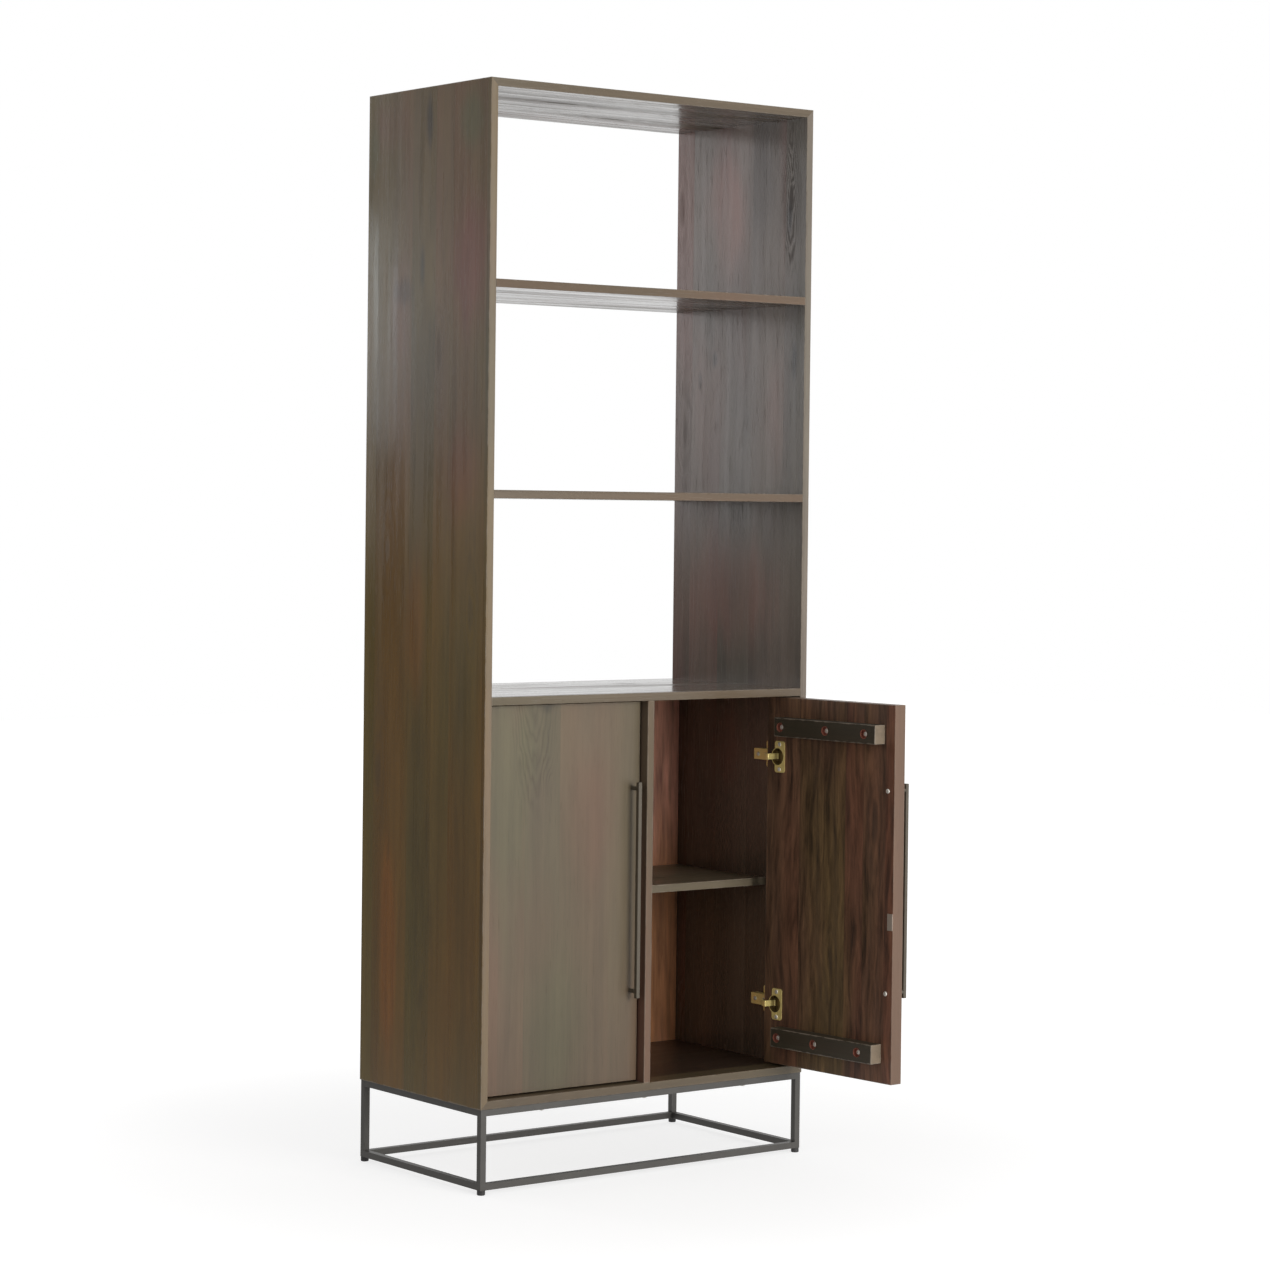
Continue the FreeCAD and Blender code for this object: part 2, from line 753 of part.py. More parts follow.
def door_set():
    """Every piece of a closed right-hand door, by its name without the side."""
    pieces = {}
    tools = []
    panel_blank = softened((door_left, door_face, door_bottom), (door_right, door_back, door_top), arris)

    screws = []
    for level, under, shares in batten_levels():
        blank = softened((batten_left, door_back, under),
                         (batten_right, door_back + batten_thickness, under + batten_height), arris)
        bores = []
        for place in batten_screw_places(under, shares):
            bores.append(rod(place, ALONG_Y, batten_bore_radius, batten_bore_depth))
            shank = batten_thickness - batten_bore_depth + batten_screw_in_door
            hole = rod(place, ALONG_Y * -1, batten_screw_radius + screw_clearance, shank + screw_clearance)
            bores.append(hole)
            tools.append(hole)
            screws.append(screw(place, ALONG_Y * -1, batten_screw_radius, shank,
                                batten_screw_head_radius, batten_screw_head_height))
        pieces[f"door_batten_{level}"] = cut_all(blank, bores)
    pieces["batten_screws"] = Part.makeCompound(screws)

    middle_x = door_left + handle_from_edge
    half = handle_section / 2
    bar_face = door_face - handle_reach
    top = door_top - handle_from_top
    pieces["handle_bar"] = softened((middle_x - half, bar_face, top - handle_length),
                                    (middle_x + half, bar_face + handle_section, top), handle_arris)
    posts = []
    screws = []
    for z in handle_levels():
        run = handle_reach - handle_section
        post = rod((middle_x, door_face, z), ALONG_Y * -1, post_radius, run)
        shank = door_thickness + handle_screw_in_post
        head = (middle_x, door_back, z)
        hole = rod(head, ALONG_Y * -1, handle_screw_radius + screw_clearance, shank + screw_clearance)
        tools.append(hole)
        posts.append(post.cut(hole))
        screws.append(screw(head, ALONG_Y * -1, handle_screw_radius, shank,
                            handle_screw_head_radius, handle_screw_head_height))
    pieces["handle_posts"] = Part.makeCompound(posts)
    pieces["handle_screws"] = Part.makeCompound(screws)

    cups = []
    screws = []
    for z in hinge_levels:
        cups.append(hinge_cup(z))
        cups.append(knuckle_pin(z))
        tools.append(rod((cup_x, door_back, z), ALONG_Y * -1, cup_radius + cup_clearance,
                         cup_depth + cup_clearance))
        for place in cup_screw_places(z):
            shank = flange_thickness + cup_screw_in_door
            tools.append(rod(place, ALONG_Y * -1, cup_screw_radius + screw_clearance,
                             shank + screw_clearance))
            screws.append(screw(place, ALONG_Y * -1, cup_screw_radius, shank,
                                cup_screw_head_radius, cup_screw_head_height))
    pieces["hinge_cups"] = Part.makeCompound(cups)
    pieces["hinge_cup_screws"] = Part.makeCompound(screws)

    x, y, z = strike_place()
    plate = box((x - strike_width / 2, door_back, z - strike_height / 2),
                (x + strike_width / 2, y, z + strike_height / 2))
    shank = strike_thickness + strike_screw_in_door
    hole = rod((x, y, z), ALONG_Y * -1, strike_screw_radius + screw_clearance, shank + screw_clearance)
    tools.append(hole)
    seat = sunk_head((x, y, z), strike_screw_radius + screw_clearance,
                     strike_screw_head_radius + screw_clearance)
    strike_screw = rod((x, y, z), ALONG_Y * -1, strike_screw_radius, shank)
    strike_screw = strike_screw.fuse(sunk_head((x, y, z), strike_screw_radius, strike_screw_head_radius))
    pieces["strike_plate"] = Part.makeCompound([plate.cut(hole.fuse(seat)), strike_screw.removeSplitter()])
    pieces["door_panel"] = cut_all(panel_blank, tools)
    return pieces


def doors():
    """The closed left door and the open right door, made from one set."""
    nodes = {}
    for name, shape in door_set().items():
        nodes[f"{name}_left"] = mirrored(shape)
        nodes[f"{name}_right"] = opened(shape)
    return nodes


def build():
    nodes = {}
    for group in (carcass(), base(), feet(), hinges(), catches(), doors()):
        nodes.update(group)
    return nodes


os.makedirs("parts", exist_ok=True)
for node_name, node_shape in build().items():
    node_shape.exportStep(f"parts/{node_name}.step")
    print(f"{node_name}: {len(node_shape.Solids)} solid(s), {node_shape.Volume / 1000:.1f} cm3")
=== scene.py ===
# %% [markdown]
# A tall wall unit of dark stained reclaimed wood: three open bays over a two-door cupboard, on a slim welded
# base. The construction comes ready made, in metres, and this script gives it its finishes, its screws, a
# studio and a camera. The loaded pieces are deselected first, because an operator works on everything that
# is selected.
# %% Load the frame
import bmesh
import bpy
import json
import math
from mathutils import Matrix, Vector

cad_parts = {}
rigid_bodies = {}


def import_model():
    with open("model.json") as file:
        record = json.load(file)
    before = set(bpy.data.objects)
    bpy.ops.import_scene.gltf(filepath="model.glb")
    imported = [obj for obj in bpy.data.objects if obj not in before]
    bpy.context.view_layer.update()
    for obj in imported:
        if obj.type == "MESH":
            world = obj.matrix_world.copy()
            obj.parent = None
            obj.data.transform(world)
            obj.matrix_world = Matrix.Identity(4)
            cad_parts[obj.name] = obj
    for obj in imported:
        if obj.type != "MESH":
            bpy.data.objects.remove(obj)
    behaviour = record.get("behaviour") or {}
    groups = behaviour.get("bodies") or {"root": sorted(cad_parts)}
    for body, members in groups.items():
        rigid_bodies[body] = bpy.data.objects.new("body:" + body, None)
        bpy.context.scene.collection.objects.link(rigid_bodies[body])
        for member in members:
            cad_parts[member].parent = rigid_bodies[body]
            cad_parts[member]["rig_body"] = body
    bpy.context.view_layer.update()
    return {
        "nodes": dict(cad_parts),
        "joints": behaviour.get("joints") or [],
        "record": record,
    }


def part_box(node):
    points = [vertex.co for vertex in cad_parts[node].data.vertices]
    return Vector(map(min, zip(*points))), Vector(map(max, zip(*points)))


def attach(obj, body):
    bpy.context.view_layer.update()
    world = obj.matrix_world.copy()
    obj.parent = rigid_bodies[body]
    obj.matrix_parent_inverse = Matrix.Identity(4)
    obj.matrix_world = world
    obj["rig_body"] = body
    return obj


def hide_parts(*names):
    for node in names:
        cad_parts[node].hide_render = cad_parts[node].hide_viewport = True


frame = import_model()
bpy.ops.object.select_all(action="DESELECT")
MM = 0.001

# %% [markdown]
# The right door is loaded open. Its grain and its screws are easier to set out as if it were closed,
# so the swing about its hinge pins is worked out once, both ways, from the joint of that door.
# %% The open door
swings = {joint["name"]: joint for joint in frame["joints"]}
right_swing = swings["right_door_swing"]
KNUCKLE = Vector(right_swing["pos_m"])
OPEN_ANGLE = -math.radians(right_swing["range_deg"][0])


def about_knuckle(angle):
    """A turn about the right door's hinge pins."""
    return Matrix.Translation(KNUCKLE) @ Matrix.Rotation(angle, 4, "Z") @ Matrix.Translation(-KNUCKLE)


SWING_OPEN = about_knuckle(OPEN_ANGLE)
SWING_CLOSED = about_knuckle(-OPEN_ANGLE)


def if_on_open_door(node_name, move):
    """A move for a piece that the open door carries, and none for any other."""
    return move if frame["nodes"][node_name]["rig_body"] == "right_door" else Matrix.Identity(4)


def closed_points(node_name):
    """A loaded piece's points, with the open door's swung back to the closed door."""
    back = if_on_open_door(node_name, SWING_CLOSED)
    return [back @ vertex.co for vertex in frame["nodes"][node_name].data.vertices]


def corners(points):
    """The lowest and highest corners of some points."""
    low = Vector([min(point[i] for point in points) for i in range(3)])
    high = Vector([max(point[i] for point in points) for i in range(3)])
    return low, high


print("the right door is open by", round(math.degrees(OPEN_ANGLE)), "degrees")

# %% [markdown]
# The loaded screws are plain rods with plain heads. Each solid of such a node is one screw, and its
# points tell all its sizes: it is longest along its own line, its head is the wider end, and the
# widest ring of points is the seat. A copy of the mesh is welded first, so that a solid's faces hang
# together and its points can be gathered by walking along the edges. The solids come in the mesh's
# own order, so that each run gives the same screws.
# %% Measure the loaded screws
WELD_GAP = 0.001 * MM
SAME_LEVEL = 0.05 * MM
WIDEST_SHARE = 0.98


def solids_of(node_name):
    """The points of each separate solid of a loaded piece, with the open door's as if closed."""
    shape = bmesh.new()
    shape.from_mesh(frame["nodes"][node_name].data)
    bmesh.ops.remove_doubles(shape, verts=shape.verts, dist=WELD_GAP)
    back = if_on_open_door(node_name, SWING_CLOSED)
    waiting = set(shape.verts)
    solids = []
    for first in shape.verts:
        if first not in waiting:
            continue
        waiting.remove(first)
        walk = [first]
        points = []
        while walk:
            vertex = walk.pop()
            points.append(back @ vertex.co)
            for edge in vertex.link_edges:
                other = edge.other_vert(vertex)
                if other in waiting:
                    waiting.remove(other)
                    walk.append(other)
        solids.append(points)
    shape.free()
    return solids


def measure_screw(points):
    """Where a screw's seat is, which way its head looks, and its sizes."""
    low, high = corners(points)
    size = high - low
    line = max(range(3), key=lambda i: size[i])
    middle = (low + high) / 2

    def off_line(point):
        away = point - middle
        away[line] = 0
        return away.length

    def width_at(level):
        return max(off_line(point) for point in points if abs(point[line] - level) < SAME_LEVEL)

    # The head is the wider end.
    tip, top = sorted((low[line], high[line]), key=width_at)
    way = Vector((0, 0, 0))
    way[line] = 1 if top > tip else -1
    head_radius = max(off_line(point) for point in points)
    widest = [point[line] for point in points if off_line(point) > WIDEST_SHARE * head_radius]
    seat = middle.copy()
    seat[line] = min(widest, key=lambda level: abs(level - tip))
    return seat, way, head_radius, abs(top - seat[line]), width_at(tip), abs(seat[line] - tip)


seat, way, *sizes = measure_screw(solids_of("batten_screws_left")[0])
print("a batten screw in mm:", [round(value / MM, 1) for value in sizes])

# %% [markdown]
# The camera stands a little above the middle of the unit, to its left and well in front, so the
# outer left side and the front both show. A long lens keeps the uprights nearly parallel. The place
# and the three turns were worked out from the straight edges of the carcass, and the small shift
# puts the unit where the picture has it.
# %% Camera
CAMERA_PLACE = (-3.8355, -5.1771, 1.2365)
CAMERA_YAW = math.radians(-37.3145)
CAMERA_PITCH = math.radians(-1.0576)
CAMERA_ROLL = math.radians(0.6621)
SENSOR = 36.0
PICTURE_PIXELS = 1270
FOCAL_PIXELS = 3394.96
CENTRE_ROW = 570
SEEN_UP_TO = 200.0

turn = (Matrix.Rotation(CAMERA_YAW, 3, "Z")
        @ Matrix.Rotation(math.radians(90) + CAMERA_PITCH, 3, "X")
        @ Matrix.Rotation(CAMERA_ROLL, 3, "Z"))
bpy.ops.object.camera_add(location=CAMERA_PLACE, rotation=turn.to_euler())
camera = bpy.context.object
camera.data.sensor_width = SENSOR
camera.data.lens = FOCAL_PIXELS * SENSOR / PICTURE_PIXELS
camera.data.shift_y = CENTRE_ROW / PICTURE_PIXELS - 0.5
camera.data.clip_end = SEEN_UP_TO
bpy.context.scene.camera = camera
print("lens:", round(camera.data.lens, 1), "mm")

# %% [markdown]
# A shader is a small tree of nodes, and most trees here are built from the same few steps. One
# helper fills a node's sockets: a socket given as a value is linked, and anything else is written
# into the socket. Another adds a node, sets its options and fills it.
# %% Helpers for shader nodes
def fill(tree, node, values):
    """Fills a node's sockets. values maps their names or numbers to numbers, colours or links."""
    for name, value in values.items():
        if isinstance(value, bpy.types.NodeSocket):
            tree.links.new(value, node.inputs[name])
        else:
            node.inputs[name].default_value = value


def add(tree, kind, values=None, **options):
    """Adds a node to a tree and fills its sockets."""
    node = tree.nodes.new(kind)
    for name, value in options.items():
        setattr(node, name, value)
    fill(tree, node, values or {})
    return node


def maths(tree, operation, a, b=0.0, clamp=False):
    """One arithmetic step, and its result."""
    return add(tree, "ShaderNodeMath", {0: a, 1: b}, operation=operation, use_clamp=clamp).outputs[0]


def product(tree, a, b):
    """Two values multiplied."""
    return maths(tree, "MULTIPLY", a, b)


def total(tree, first, *others):
    """The sum of several values."""
    for other in others:
        first = maths(tree, "ADD", first, other)
    return first


def vectors(tree, operation, a, b=(0, 0, 0)):
    """One step of vector arithmetic, and its result."""
    return add(tree, "ShaderNodeVectorMath", {0: a, 1: b}, operation=operation).outputs[0]


def scaled(tree, value, factor):
    """A colour or a vector times a number."""
    return add(tree, "ShaderNodeVectorMath", {0: value, "Scale": factor}, operation="SCALE").outputs[0]


def offset_from(tree, point, place, size):
    """How far a point lies from a place each way, in units of a size."""
    return vectors(tree, "DIVIDE", vectors(tree, "SUBTRACT", point, place), size)


def length_of(tree, vector):
    """The length of a vector."""
    return add(tree, "ShaderNodeVectorMath", {0: vector}, operation="LENGTH").outputs["Value"]


def parts_of(tree, vector):
    """A vector's three numbers."""
    return add(tree, "ShaderNodeSeparateXYZ", {0: vector}).outputs


def mixed(tree, factor, a, b):
    """Mixes two numbers."""
    return add(tree, "ShaderNodeMix", {0: factor, 2: a, 3: b}).outputs[0]


def ramp(tree, value, low, high, to_low=0.0, to_high=1.0):
    """Turns values from low to high into values from to_low to to_high, with soft ends."""
    node = add(tree, "ShaderNodeMapRange", {"Value": value, "From Min": low, "From Max": high,
                                            "To Min": to_low, "To Max": to_high},
               interpolation_type="SMOOTHSTEP")
    return node.outputs["Result"]


def swing(tree, value, amount):
    """A pattern from 0 to 1 turned into a swing about zero, of a given size."""
    return product(tree, maths(tree, "SUBTRACT", value, 0.5), amount)


def blend(tree, factor, a, b, mode="MIX"):
    """Mixes two colours."""
    node = add(tree, "ShaderNodeMix", {0: factor, 6: a, 7: b}, data_type="RGBA", blend_type=mode)
    return node.outputs[2]


def noise(tree, point, seed=0.0, detail=2.0, roughness=0.5, distortion=0.0):
    """Soft noise with a seed of its own."""
    node = add(tree, "ShaderNodeTexNoise",
               {"Vector": point, "W": seed, "Scale": 1.0, "Detail": detail, "Roughness": roughness,
                "Distortion": distortion}, noise_dimensions="4D")
    return node.outputs["Fac"]


def stretched(tree, point, across, along):
    """A point scaled one way over the board and another way along its grain."""
    return vectors(tree, "MULTIPLY", point, (across, across, along))


def new_material(name):
    """A new material, its tree and its main shader."""
    material = bpy.data.materials.new(name)
    material.use_nodes = True
    return material, material.node_tree, material.node_tree.nodes["Principled BSDF"]


def new_group(name, inputs, outputs):
    """An empty node group, what it is given and its result. Each kind of socket has a line of names."""
    group = bpy.data.node_groups.new(name, "ShaderNodeTree")
    for in_out, listed in (("INPUT", inputs), ("OUTPUT", outputs)):
        for kind, labels in listed.items():
            for label in labels.split(", "):
                group.interface.new_socket(name=label, in_out=in_out, socket_type=f"NodeSocket{kind}")
    return group, group.nodes.new("NodeGroupInput").outputs, group.nodes.new("NodeGroupOutput")


def colour(red, green, blue):
    """A colour given as it looks on a screen, from 0 to 255, made linear for the shader."""
    def linear(value):
        share = value / 255
        return share / 12.92 if share <= 0.04045 else ((share + 0.055) / 1.055) ** 2.4
    return (linear(red), linear(green), linear(blue), 1.0)


print("a middle grey, made linear:", round(colour(128, 128, 128)[0], 3))

# %% [markdown]
# The unit stands in a plain white studio. The floor is a big pale sheet that catches the unit's
# shadow, and away from the unit it turns pure white, so no horizon shows. What the camera sees
# behind is white too, while the light that falls on the unit stays at an ordinary level, so that a
# colour renders about as it is written. Shiny surfaces see a studio that is bright to the right and
# dim to the left, where it brightens a little above the horizon. That keeps the outer left side deep
# in colour.
# %% Floor and world
FLOOR_HALF = 12.0
FLOOR_GREY = 0.36
FLOOR_ROUGHNESS = 0.9
WHITE = (1, 1, 1, 1)
GLOW_RAMP = (0.5, 2.2, 0.74, 1.0)
AMBIENT = 0.36
GLOSS_DARK = 0.1
GLOSS_BRIGHT = 1.0
BRIGHT_WAY = (1.0, 0.0, 0.0)
BRIGHT_SPAN = (-0.2, 0.45)
SKY_SPAN = (-0.06, 0.13)
GLOSS_SKY = 0.6
FLOOR_SPAN = (-1.5, 0.5)

bpy.ops.mesh.primitive_plane_add(size=2 * FLOOR_HALF, location=(0, 0, 0))
floor = bpy.context.object
floor.name = "studio_floor"
bpy.ops.object.transform_apply(location=True, rotation=True, scale=True)
floor_material, tree, shader = new_material("studio_floor_white")
path = add(tree, "ShaderNodeLightPath")
place = add(tree, "ShaderNodeTexCoord").outputs["Object"]
mirrored = ramp(tree, parts_of(tree, place)[0], *FLOOR_SPAN, GLOSS_DARK, GLOSS_BRIGHT)
mirrored = product(tree, path.outputs["Is Glossy Ray"], mirrored)
seen = maths(tree, "MAXIMUM", path.outputs["Is Camera Ray"], path.outputs["Is Transmission Ray"])
seen = maths(tree, "MAXIMUM", seen, mirrored)
glow = ramp(tree, length_of(tree, place), *GLOW_RAMP)
fill(tree, shader, {"Base Color": (FLOOR_GREY, FLOOR_GREY, FLOOR_GREY, 1), "Roughness": FLOOR_ROUGHNESS,
                    "Emission Color": WHITE, "Emission Strength": product(tree, seen, glow)})
floor.data.materials.append(floor_material)

world = bpy.context.scene.world or bpy.data.worlds.new("studio_world")
bpy.context.scene.world = world
world.use_nodes = True
tree = world.node_tree
path = add(tree, "ShaderNodeLightPath")
way = add(tree, "ShaderNodeTexCoord").outputs["Generated"]
facing = add(tree, "ShaderNodeVectorMath", {0: way, 1: BRIGHT_WAY}, operation="DOT_PRODUCT")
dim = ramp(tree, parts_of(tree, way)[2], *SKY_SPAN, GLOSS_DARK, GLOSS_SKY)
gloss = ramp(tree, facing.outputs["Value"], *BRIGHT_SPAN, dim, GLOSS_BRIGHT)
strength = mixed(tree, path.outputs["Is Glossy Ray"], AMBIENT, gloss)
for kind in ("Camera", "Transmission"):
    strength = mixed(tree, path.outputs[f"Is {kind} Ray"], strength, 1.0)
fill(tree, tree.nodes["Background"], {"Color": WHITE, "Strength": strength})
bpy.context.scene.view_settings.view_transform = "Standard"
print("floor:", 2 * FLOOR_HALF, "m wide; nodes in the world:", len(tree.nodes))

# %% [markdown]
# Four soft lamps make the light. A large one in front lights the doors and the front edges, and
# reaches past the open door to the back of the cupboard. A weak one to the left keeps the outer side
# from going black. Two panels behind and to the left are there to be mirrored: the tall one puts a
# grey sheen on the right side inside the bays, and the small one a narrow sheen on the rear of the
# outer left side.
# %% Lamps
def lamp(name, place, aim, wide, tall, watts, tint, shape="RECTANGLE"):
    """A soft lamp that points at a spot."""
    turn = (Vector(aim) - Vector(place)).to_track_quat("-Z", "Y").to_euler()
    bpy.ops.object.light_add(type="AREA", location=place, rotation=turn)
    light = bpy.context.object
    light.name = name
    light.data.shape = shape
    light.data.size = wide
    light.data.size_y = tall
    light.data.energy = watts
    light.data.color = tint


lamp("key_lamp", place=(0.6, -5.0, 1.5), aim=(0.0, 0.0, 0.95), wide=2.0, tall=2.8, watts=172,
     tint=(1.0, 0.985, 0.96))
lamp("fill_lamp", place=(-4.2, -1.6, 1.6), aim=(0.0, 0.0, 1.0), wide=2.0, tall=2.0, watts=18,
     tint=(1.0, 0.97, 0.92))
lamp("bay_panel", place=(-0.97, 1.8, 1.73), aim=(0.36, 0.0, 1.6), wide=0.45, tall=1.15, watts=4.3,
     tint=(1.0, 0.95, 0.95))
lamp("sheen_panel", place=(-1.44, 1.8, 1.66), aim=(-0.375, 0.2, 1.5), wide=0.09, tall=0.6, watts=0.6,
     tint=(0.9, 0.97, 1.0), shape="ELLIPSE")

# %% [markdown]
# Reclaimed boards are glued side by side, sanded and stained nearly one colour, but each old board
# takes the stain in its own way: one stays olive, the next goes reddish. Broad soft bands run along
# the grain, finer streaks lie in them, and here and there sits a knot with the grain bent round it.
# The group below paints this from a point whose X runs across the boards, Y through them and Z along
# the grain. Cells of a one-way Voronoi pattern are the boards, stretched noises are the bands, the
# streaks and the fibres, and cells of a flat Voronoi pattern are the knots. A heart, where one is
# set, is a place where the saw cut near the tree's middle, which leaves long nested arches.
# %% The wood's pattern
BOARDS_UNEVEN = 0.75
LANE_SEED_STEP = 3.17
SEAM_SHARE = 0.02
SHIFT_ACROSS = 0.9
SHIFT_ALONG = 3.0
BENDS = (6.0, 3.5)

boards, given, result = new_group(
    "Stained boards",
    {"Vector": "Point, Heart, Heart size", "Color": "Ground, Dark, Red, Olive",
     "Float": "Seed, Board width, Red amount, Olive amount, Shade, Streaks, Marks, Figure, Knots, Seams, "
              "Gloss, Gloss swing, Waves, Bend, Heart amount, Red patch, Olive patch, Light patch"},
    {"Color": "Color", "Float": "Roughness, Height"})
point = given["Point"]
seed = given["Seed"]


def times(value, label):
    """A value times one of the group's amounts."""
    return product(boards, value, given[label])


def grain_noise(point, fineness, step=0.0, detail=2.0, roughness=0.5, distortion=0.0):
    """Noise drawn out along the grain. fineness is in cycles per metre, across and along."""
    own_seed = total(boards, seed, step)
    return noise(boards, stretched(boards, point, *fineness), own_seed, detail, roughness, distortion)


split = parts_of(boards, point)
lane = maths(boards, "DIVIDE", split["X"], given["Board width"])
lane = total(boards, lane, product(boards, seed, LANE_SEED_STEP))
lanes = {"W": lane, "Scale": 1.0, "Randomness": BOARDS_UNEVEN}
cell = add(boards, "ShaderNodeTexVoronoi", lanes, voronoi_dimensions="1D", feature="F1")
border = add(boards, "ShaderNodeTexVoronoi", lanes, voronoi_dimensions="1D", feature="DISTANCE_TO_EDGE")
draw = add(boards, "ShaderNodeSeparateColor", {0: cell.outputs["Color"]}).outputs
seam = times(ramp(boards, border.outputs["Distance"], 0.0, SEAM_SHARE, 1.0, 0.0), "Seams")
bend = swing(boards, grain_noise(point, BENDS, step=27.0), given["Bend"])
shift = add(boards, "ShaderNodeCombineXYZ",
            {"X": total(boards, product(boards, draw[0], SHIFT_ACROSS), bend),
             "Y": 0.0, "Z": product(boards, draw[1], SHIFT_ALONG)}).outputs[0]
own = vectors(boards, "ADD", point, shift)
print("boards laid out with", len(boards.nodes), "nodes")

# %% [markdown]
# The stain comes first: a ground colour, a red and an olive that take over in soft bands, and a shade
# that makes whole stretches lighter or darker.
# %% Bands of stain
BANDS = (8.0, 0.8)
CLOUDS = (7.0, 1.8)
SHADES = (10.0, 1.6)
RED_SPAN = (0.44, 0.68)
RED_BY_BOARD = 0.16
OLIVE_SPAN = (0.46, 0.7)
OLIVE_BY_BOARD = 0.14


def stain_mask(pattern, own_draw, by_board, span, name):
    """Where one tone of the stain takes over, in its bands and in its patches."""
    pattern = total(boards, pattern, swing(boards, own_draw, by_board))
    mask = times(ramp(boards, pattern, *span), f"{name} amount")
    return maths(boards, "ADD", mask, given[f"{name} patch"], clamp=True)


band = grain_noise(own, BANDS, step=4.0, detail=1.5, roughness=0.45)
cloud = grain_noise(point, CLOUDS, step=9.0, detail=1.5, roughness=0.45)
shade = grain_noise(own, SHADES, step=13.0, detail=2.5)
red_mask = stain_mask(band, draw[2], RED_BY_BOARD, RED_SPAN, "Red")
olive_mask = stain_mask(cloud, draw[1], OLIVE_BY_BOARD, OLIVE_SPAN, "Olive")
tone = blend(boards, red_mask, given["Ground"], given["Red"])
tone = blend(boards, olive_mask, tone, given["Olive"])
print("nodes with the stain:", len(boards.nodes))

# %% [markdown]
# Streaks, fibres and short broken marks are added to one another and scale the stain's lightness.
# %% Streaks and marks
FIBRES = (260.0, 5.0)
STREAKS = (70.0, 1.4)
MARKS = (80.0, 8.0)
PORES = (640.0, 26.0)
PORE_SPAN = (0.6, 0.74)
FIBRE_LIFT = 0.6
STREAK_LIFT = 1.2
MARK_LIFT = 3.0
SHADE_LIFT = 1.8
BOARD_LIFT = 0.12
DARKEST = 0.15

fibre = grain_noise(own, FIBRES, detail=3.0, roughness=0.6)
streak = grain_noise(own, STREAKS, roughness=0.55)
mark = grain_noise(own, MARKS, step=17.0, detail=3.0, roughness=0.65, distortion=0.4)
pore = ramp(boards, grain_noise(own, PORES, detail=1.0), *PORE_SPAN)
lines = total(boards, swing(boards, fibre, FIBRE_LIFT), swing(boards, streak, STREAK_LIFT))
lift = total(boards, times(lines, "Streaks"), times(swing(boards, mark, MARK_LIFT), "Marks"),
             times(swing(boards, shade, SHADE_LIFT), "Shade"), swing(boards, draw[0], BOARD_LIFT),
             given["Light patch"], 1.0)
tone = scaled(boards, tone, maths(boards, "MAXIMUM", lift, DARKEST))
print("nodes with the streaks:", len(boards.nodes))

# %% [markdown]
# Knots are long spots with rings about them. Only about every other cell of the flat pattern has one.
# A triangle wave over the distance to the knot draws the rings.
# %% Knots
KNOT_CELLS = (7.0, 1.7)
KNOT_SEED_STEPS = (3.7, 1.9)
KNOT_SHARE = 0.5
KNOT_WOBBLE = 0.16
KNOT_RINGS = 24.0
CORE_RAMP = (0.02, 0.09, 0.8, 0.0)
BENT_RAMP = (0.08, 0.34, 0.4, 0.0)
WOBBLES = (48.0, 11.0)


def rings_along(value, count):
    """Light and dark lines that follow a value."""
    return maths(boards, "PINGPONG", product(boards, value, count), 1.0)


def knot_cell(way, fineness, seed_step):
    """A point's place one way over the flat pattern of knots."""
    return total(boards, product(boards, split[way], fineness), product(boards, seed, seed_step))


wobble = grain_noise(point, WOBBLES)
across, along = [knot_cell(*row) for row in zip("XZ", KNOT_CELLS, KNOT_SEED_STEPS)]
flat = add(boards, "ShaderNodeCombineXYZ", {"X": across, "Y": along, "Z": 0.0}).outputs[0]
knot = add(boards, "ShaderNodeTexVoronoi", {"Vector": flat, "Scale": 1.0, "Randomness": 1.0},
           voronoi_dimensions="2D", feature="F1")
from_knot = total(boards, knot.outputs["Distance"], swing(boards, wobble, KNOT_WOBBLE))
has_knot = add(boards, "ShaderNodeSeparateColor", {0: knot.outputs["Color"]}).outputs[0]
has_knot = maths(boards, "GREATER_THAN", has_knot, KNOT_SHARE)
core = ramp(boards, from_knot, *CORE_RAMP)
bent = product(boards, rings_along(from_knot, KNOT_RINGS), ramp(boards, from_knot, *BENT_RAMP))
knots = times(product(boards, maths(boards, "MAXIMUM", core, bent), has_knot), "Knots")
print("nodes with the knots:", len(boards.nodes))

# %% [markdown]
# The heart's arches are rings along the board that droop to both sides, within a soft long spot. The
# plain growth rings are contour lines of a stretched noise. All that is dark, the pores and the seams
# too, is added up, and the dark tone takes over by that much.
# %% Heart and growth rings
HEART_WOBBLE = 0.45
HEART_RAMP = (0.6, 1.15, 1.0, 0.0)
PITH_RAMP = (0.05, 0.2, 1.0, 0.0)
ARCHES = 7.0
ARCH_WOBBLE = 1.3
ARCH_DROOP = 1.8
ARCH_DROOP_POWER = 1.7
ARCH_SHARPNESS = 1.5
CONTOURS = (6.5, 0.8)
CONTOUR_RINGS = 19.0
RING_SHARPNESS = 3.0
PORE_DARK = 0.2

